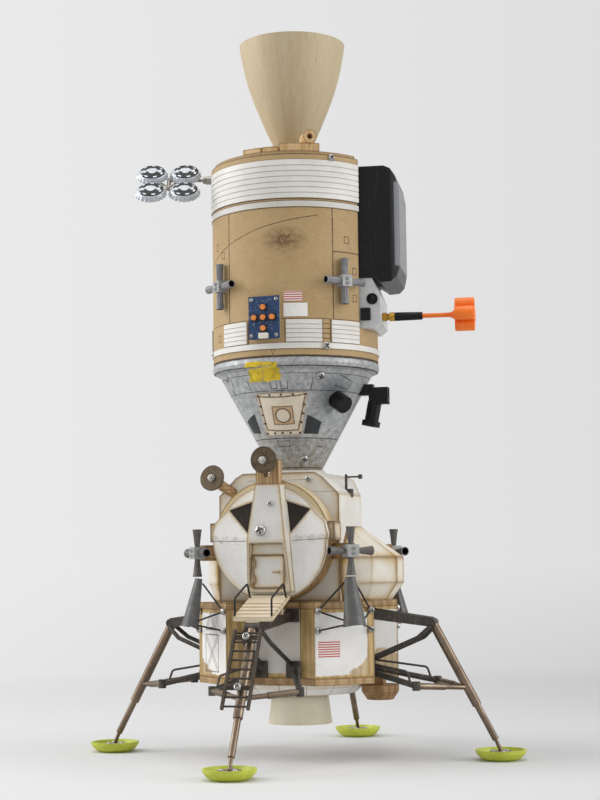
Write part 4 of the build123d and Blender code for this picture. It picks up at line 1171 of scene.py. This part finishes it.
def makeFittings():
    # a white connector at the board's foot, a lens in the holder's side, a black block below it
    socket = facingSeat(boardFacing, (0, -81.9, 379.9))
    addPiece("board_connector", copies(roundedBlock(9, 5.2, 3, 1.2), [socket]), "connectorWhite")
    holderSide = turned(bayFacing, (-1, 0, 0))
    lens = lathe([(0, -0.3), (5.2, -0.3), (5.2, 0.8), (4.7, 1.2), (4.2, 1), (3.9, 0.3), (3, 0.7),
                  (1.6, 1.2), (0, 1.4)], 40)
    block = roundedBlock(9, 11.5, 2.6, 0.8)
    for name, shape, place in (("holder_lens", lens, (-37, -77.6, 416.6)),
                               ("holder_block", block, (-37, -71.5, 402.5))):
        spot = seat(turned(bayFacing, place), holderSide)
        addPiece(name, copies(shape, [spot]), "blackPlastic")


makeScrews()
makePins()
makeNuts()
makeBells()
makeStuds()
makeCaps()
makeWhip()
makeSheets()
makeFittings()
print("detail pieces made")


# Stage, light and camera

def seenStraight(tree):
    # 1 for what the camera sees directly, in a mirror or through glass
    ray = addNode(tree, "LightPath").outputs
    kinds = ("Is Camera Ray", "Is Glossy Ray", "Is Transmission Ray")
    camera, glossy, through = (Field(tree, ray[kind]) for kind in kinds)
    return camera.most(glossy, through)


def backdropPaintedFalloff(tree):
    # painted shade: the backdrop falls off to the right, by the view's direction against the camera's right
    # hand, and below the horizon
    s = {"half": 0.17, "drop": 0.07, "high": ("DFDFDF", "EAEAEA"), "low": ("CECECE", "E6E6E6")}
    toEye = field(tree, "NewGeometry", None, "Incoming")
    side = toEye.along(rightHand).ramp(-s["half"], s["half"])
    return toEye.along(up).ramp(0, s["drop"]).blend(side.blend(*s["high"]), side.blend(*s["low"]))


def makeStage():
    # a floor that fades into the backdrop with distance, and a soft white world that looks like the backdrop
    s = {"size": 30, "ground": ("D8D8D8", "C6C6C6"), "rightShadeReach": 0.5, "rough": 0.8, "near": 0.35,
         "far": 1.35, "soft": 0.42}
    floorMesh = bpy.data.meshes.new("studio_floor")
    half = s["size"] / 2
    corners = [(-half, -half, 0), (half, -half, 0), (half, half, 0), (-half, half, 0)]
    floorMesh.from_pydata(corners, [], [(0, 1, 2, 3)])
    floor = bpy.data.objects.new("studio_floor", floorMesh)
    bpy.context.scene.collection.objects.link(floor)
    m = Material("studioFloor")
    # painted shade: the floor's own colour darkens towards the camera's right, where the lamps light it less
    ground = m.place.along(rightHand).ramp(0, s["rightShadeReach"]).blend(*s["ground"])
    setInputs(m.tree, m.shader, {"Base Color": ground, "Roughness": s["rough"]})
    glow = field(m.tree, "Emission", {"Color": backdropPaintedFalloff(m.tree), "Strength": 1})
    share = m.place.distance(origin).ramp(s["near"], s["far"]) * seenStraight(m.tree)
    both = field(m.tree, "MixShader", {0: share, 1: m.surface, 2: glow})
    setInputs(m.tree, m.output, {"Surface": both})
    floorMesh.materials.append(m.made)

    world = bpy.data.worlds.new("studioWorld")
    world.use_nodes = True
    bpy.context.scene.world = world
    tree = world.node_tree
    tree.nodes.clear()
    soft = field(tree, "Background", {"Color": (1, 1, 1, 1), "Strength": s["soft"]})
    back = field(tree, "Background", {"Color": backdropPaintedFalloff(tree), "Strength": 1})
    both = field(tree, "MixShader", {0: seenStraight(tree), 1: soft, 2: back})
    addNode(tree, "OutputWorld", {"Surface": both})


def makeLights():
    # columns: name, place, aim, width, height, watts
    lamps = [("left_softbox", (-1.75, -0.55, 1.20), (0, 0, 0.33), 1.3, 1.7, 31),
             ("right_softbox", (1.85, 0.00, 0.80), (0, 0, 0.33), 1.1, 1.5, 19),
             ("top_softbox", (0.1, -0.3, 2.1), (0, 0, 0.3), 1.4, 1.4, 15)]
    for name, place, aim, width, height, watts in lamps:
        lamp = bpy.data.lights.new(name, "AREA")
        lamp.shape = "RECTANGLE"
        lamp.size = width
        lamp.size_y = height
        lamp.energy = watts
        holder = bpy.data.objects.new(name, lamp)
        holder.location = place
        holder.rotation_mode = "QUATERNION"
        holder.rotation_quaternion = (Vector(aim) - Vector(place)).to_track_quat("-Z", "Y")
        bpy.context.scene.collection.objects.link(holder)


def makeCamera():
    # stands to the right of the front, low, looking up a little; roll leans the picture's top to the left
    s = {"azimuth": 18.3, "distance": 1.600, "height": 0.172, "aim": (0.0035, 0, 0.329), "roll": 0.75,
         "focalPixels": 1710, "picturePixels": 800, "sensor": 36}
    lens = bpy.data.cameras.new("photo_camera")
    lens.sensor_width = s["sensor"]
    lens.lens = s["focalPixels"] * s["sensor"] / s["picturePixels"]
    holder = bpy.data.objects.new("photo_camera", lens)
    place = Vector(outward(s["azimuth"])) * s["distance"] + Vector((0, 0, s["height"]))
    look = (Vector(s["aim"]) - place).to_track_quat("-Z", "Y").to_matrix().to_4x4()
    lean = Matrix.Rotation(-math.radians(s["roll"]), 4, "Z")
    holder.matrix_world = Matrix.Translation(place) @ look @ lean
    bpy.context.scene.collection.objects.link(holder)
    bpy.context.scene.camera = holder


makeStage()
makeLights()
makeCamera()
bpy.context.scene.view_settings.view_transform = "Standard"
print("stage, light and camera set")
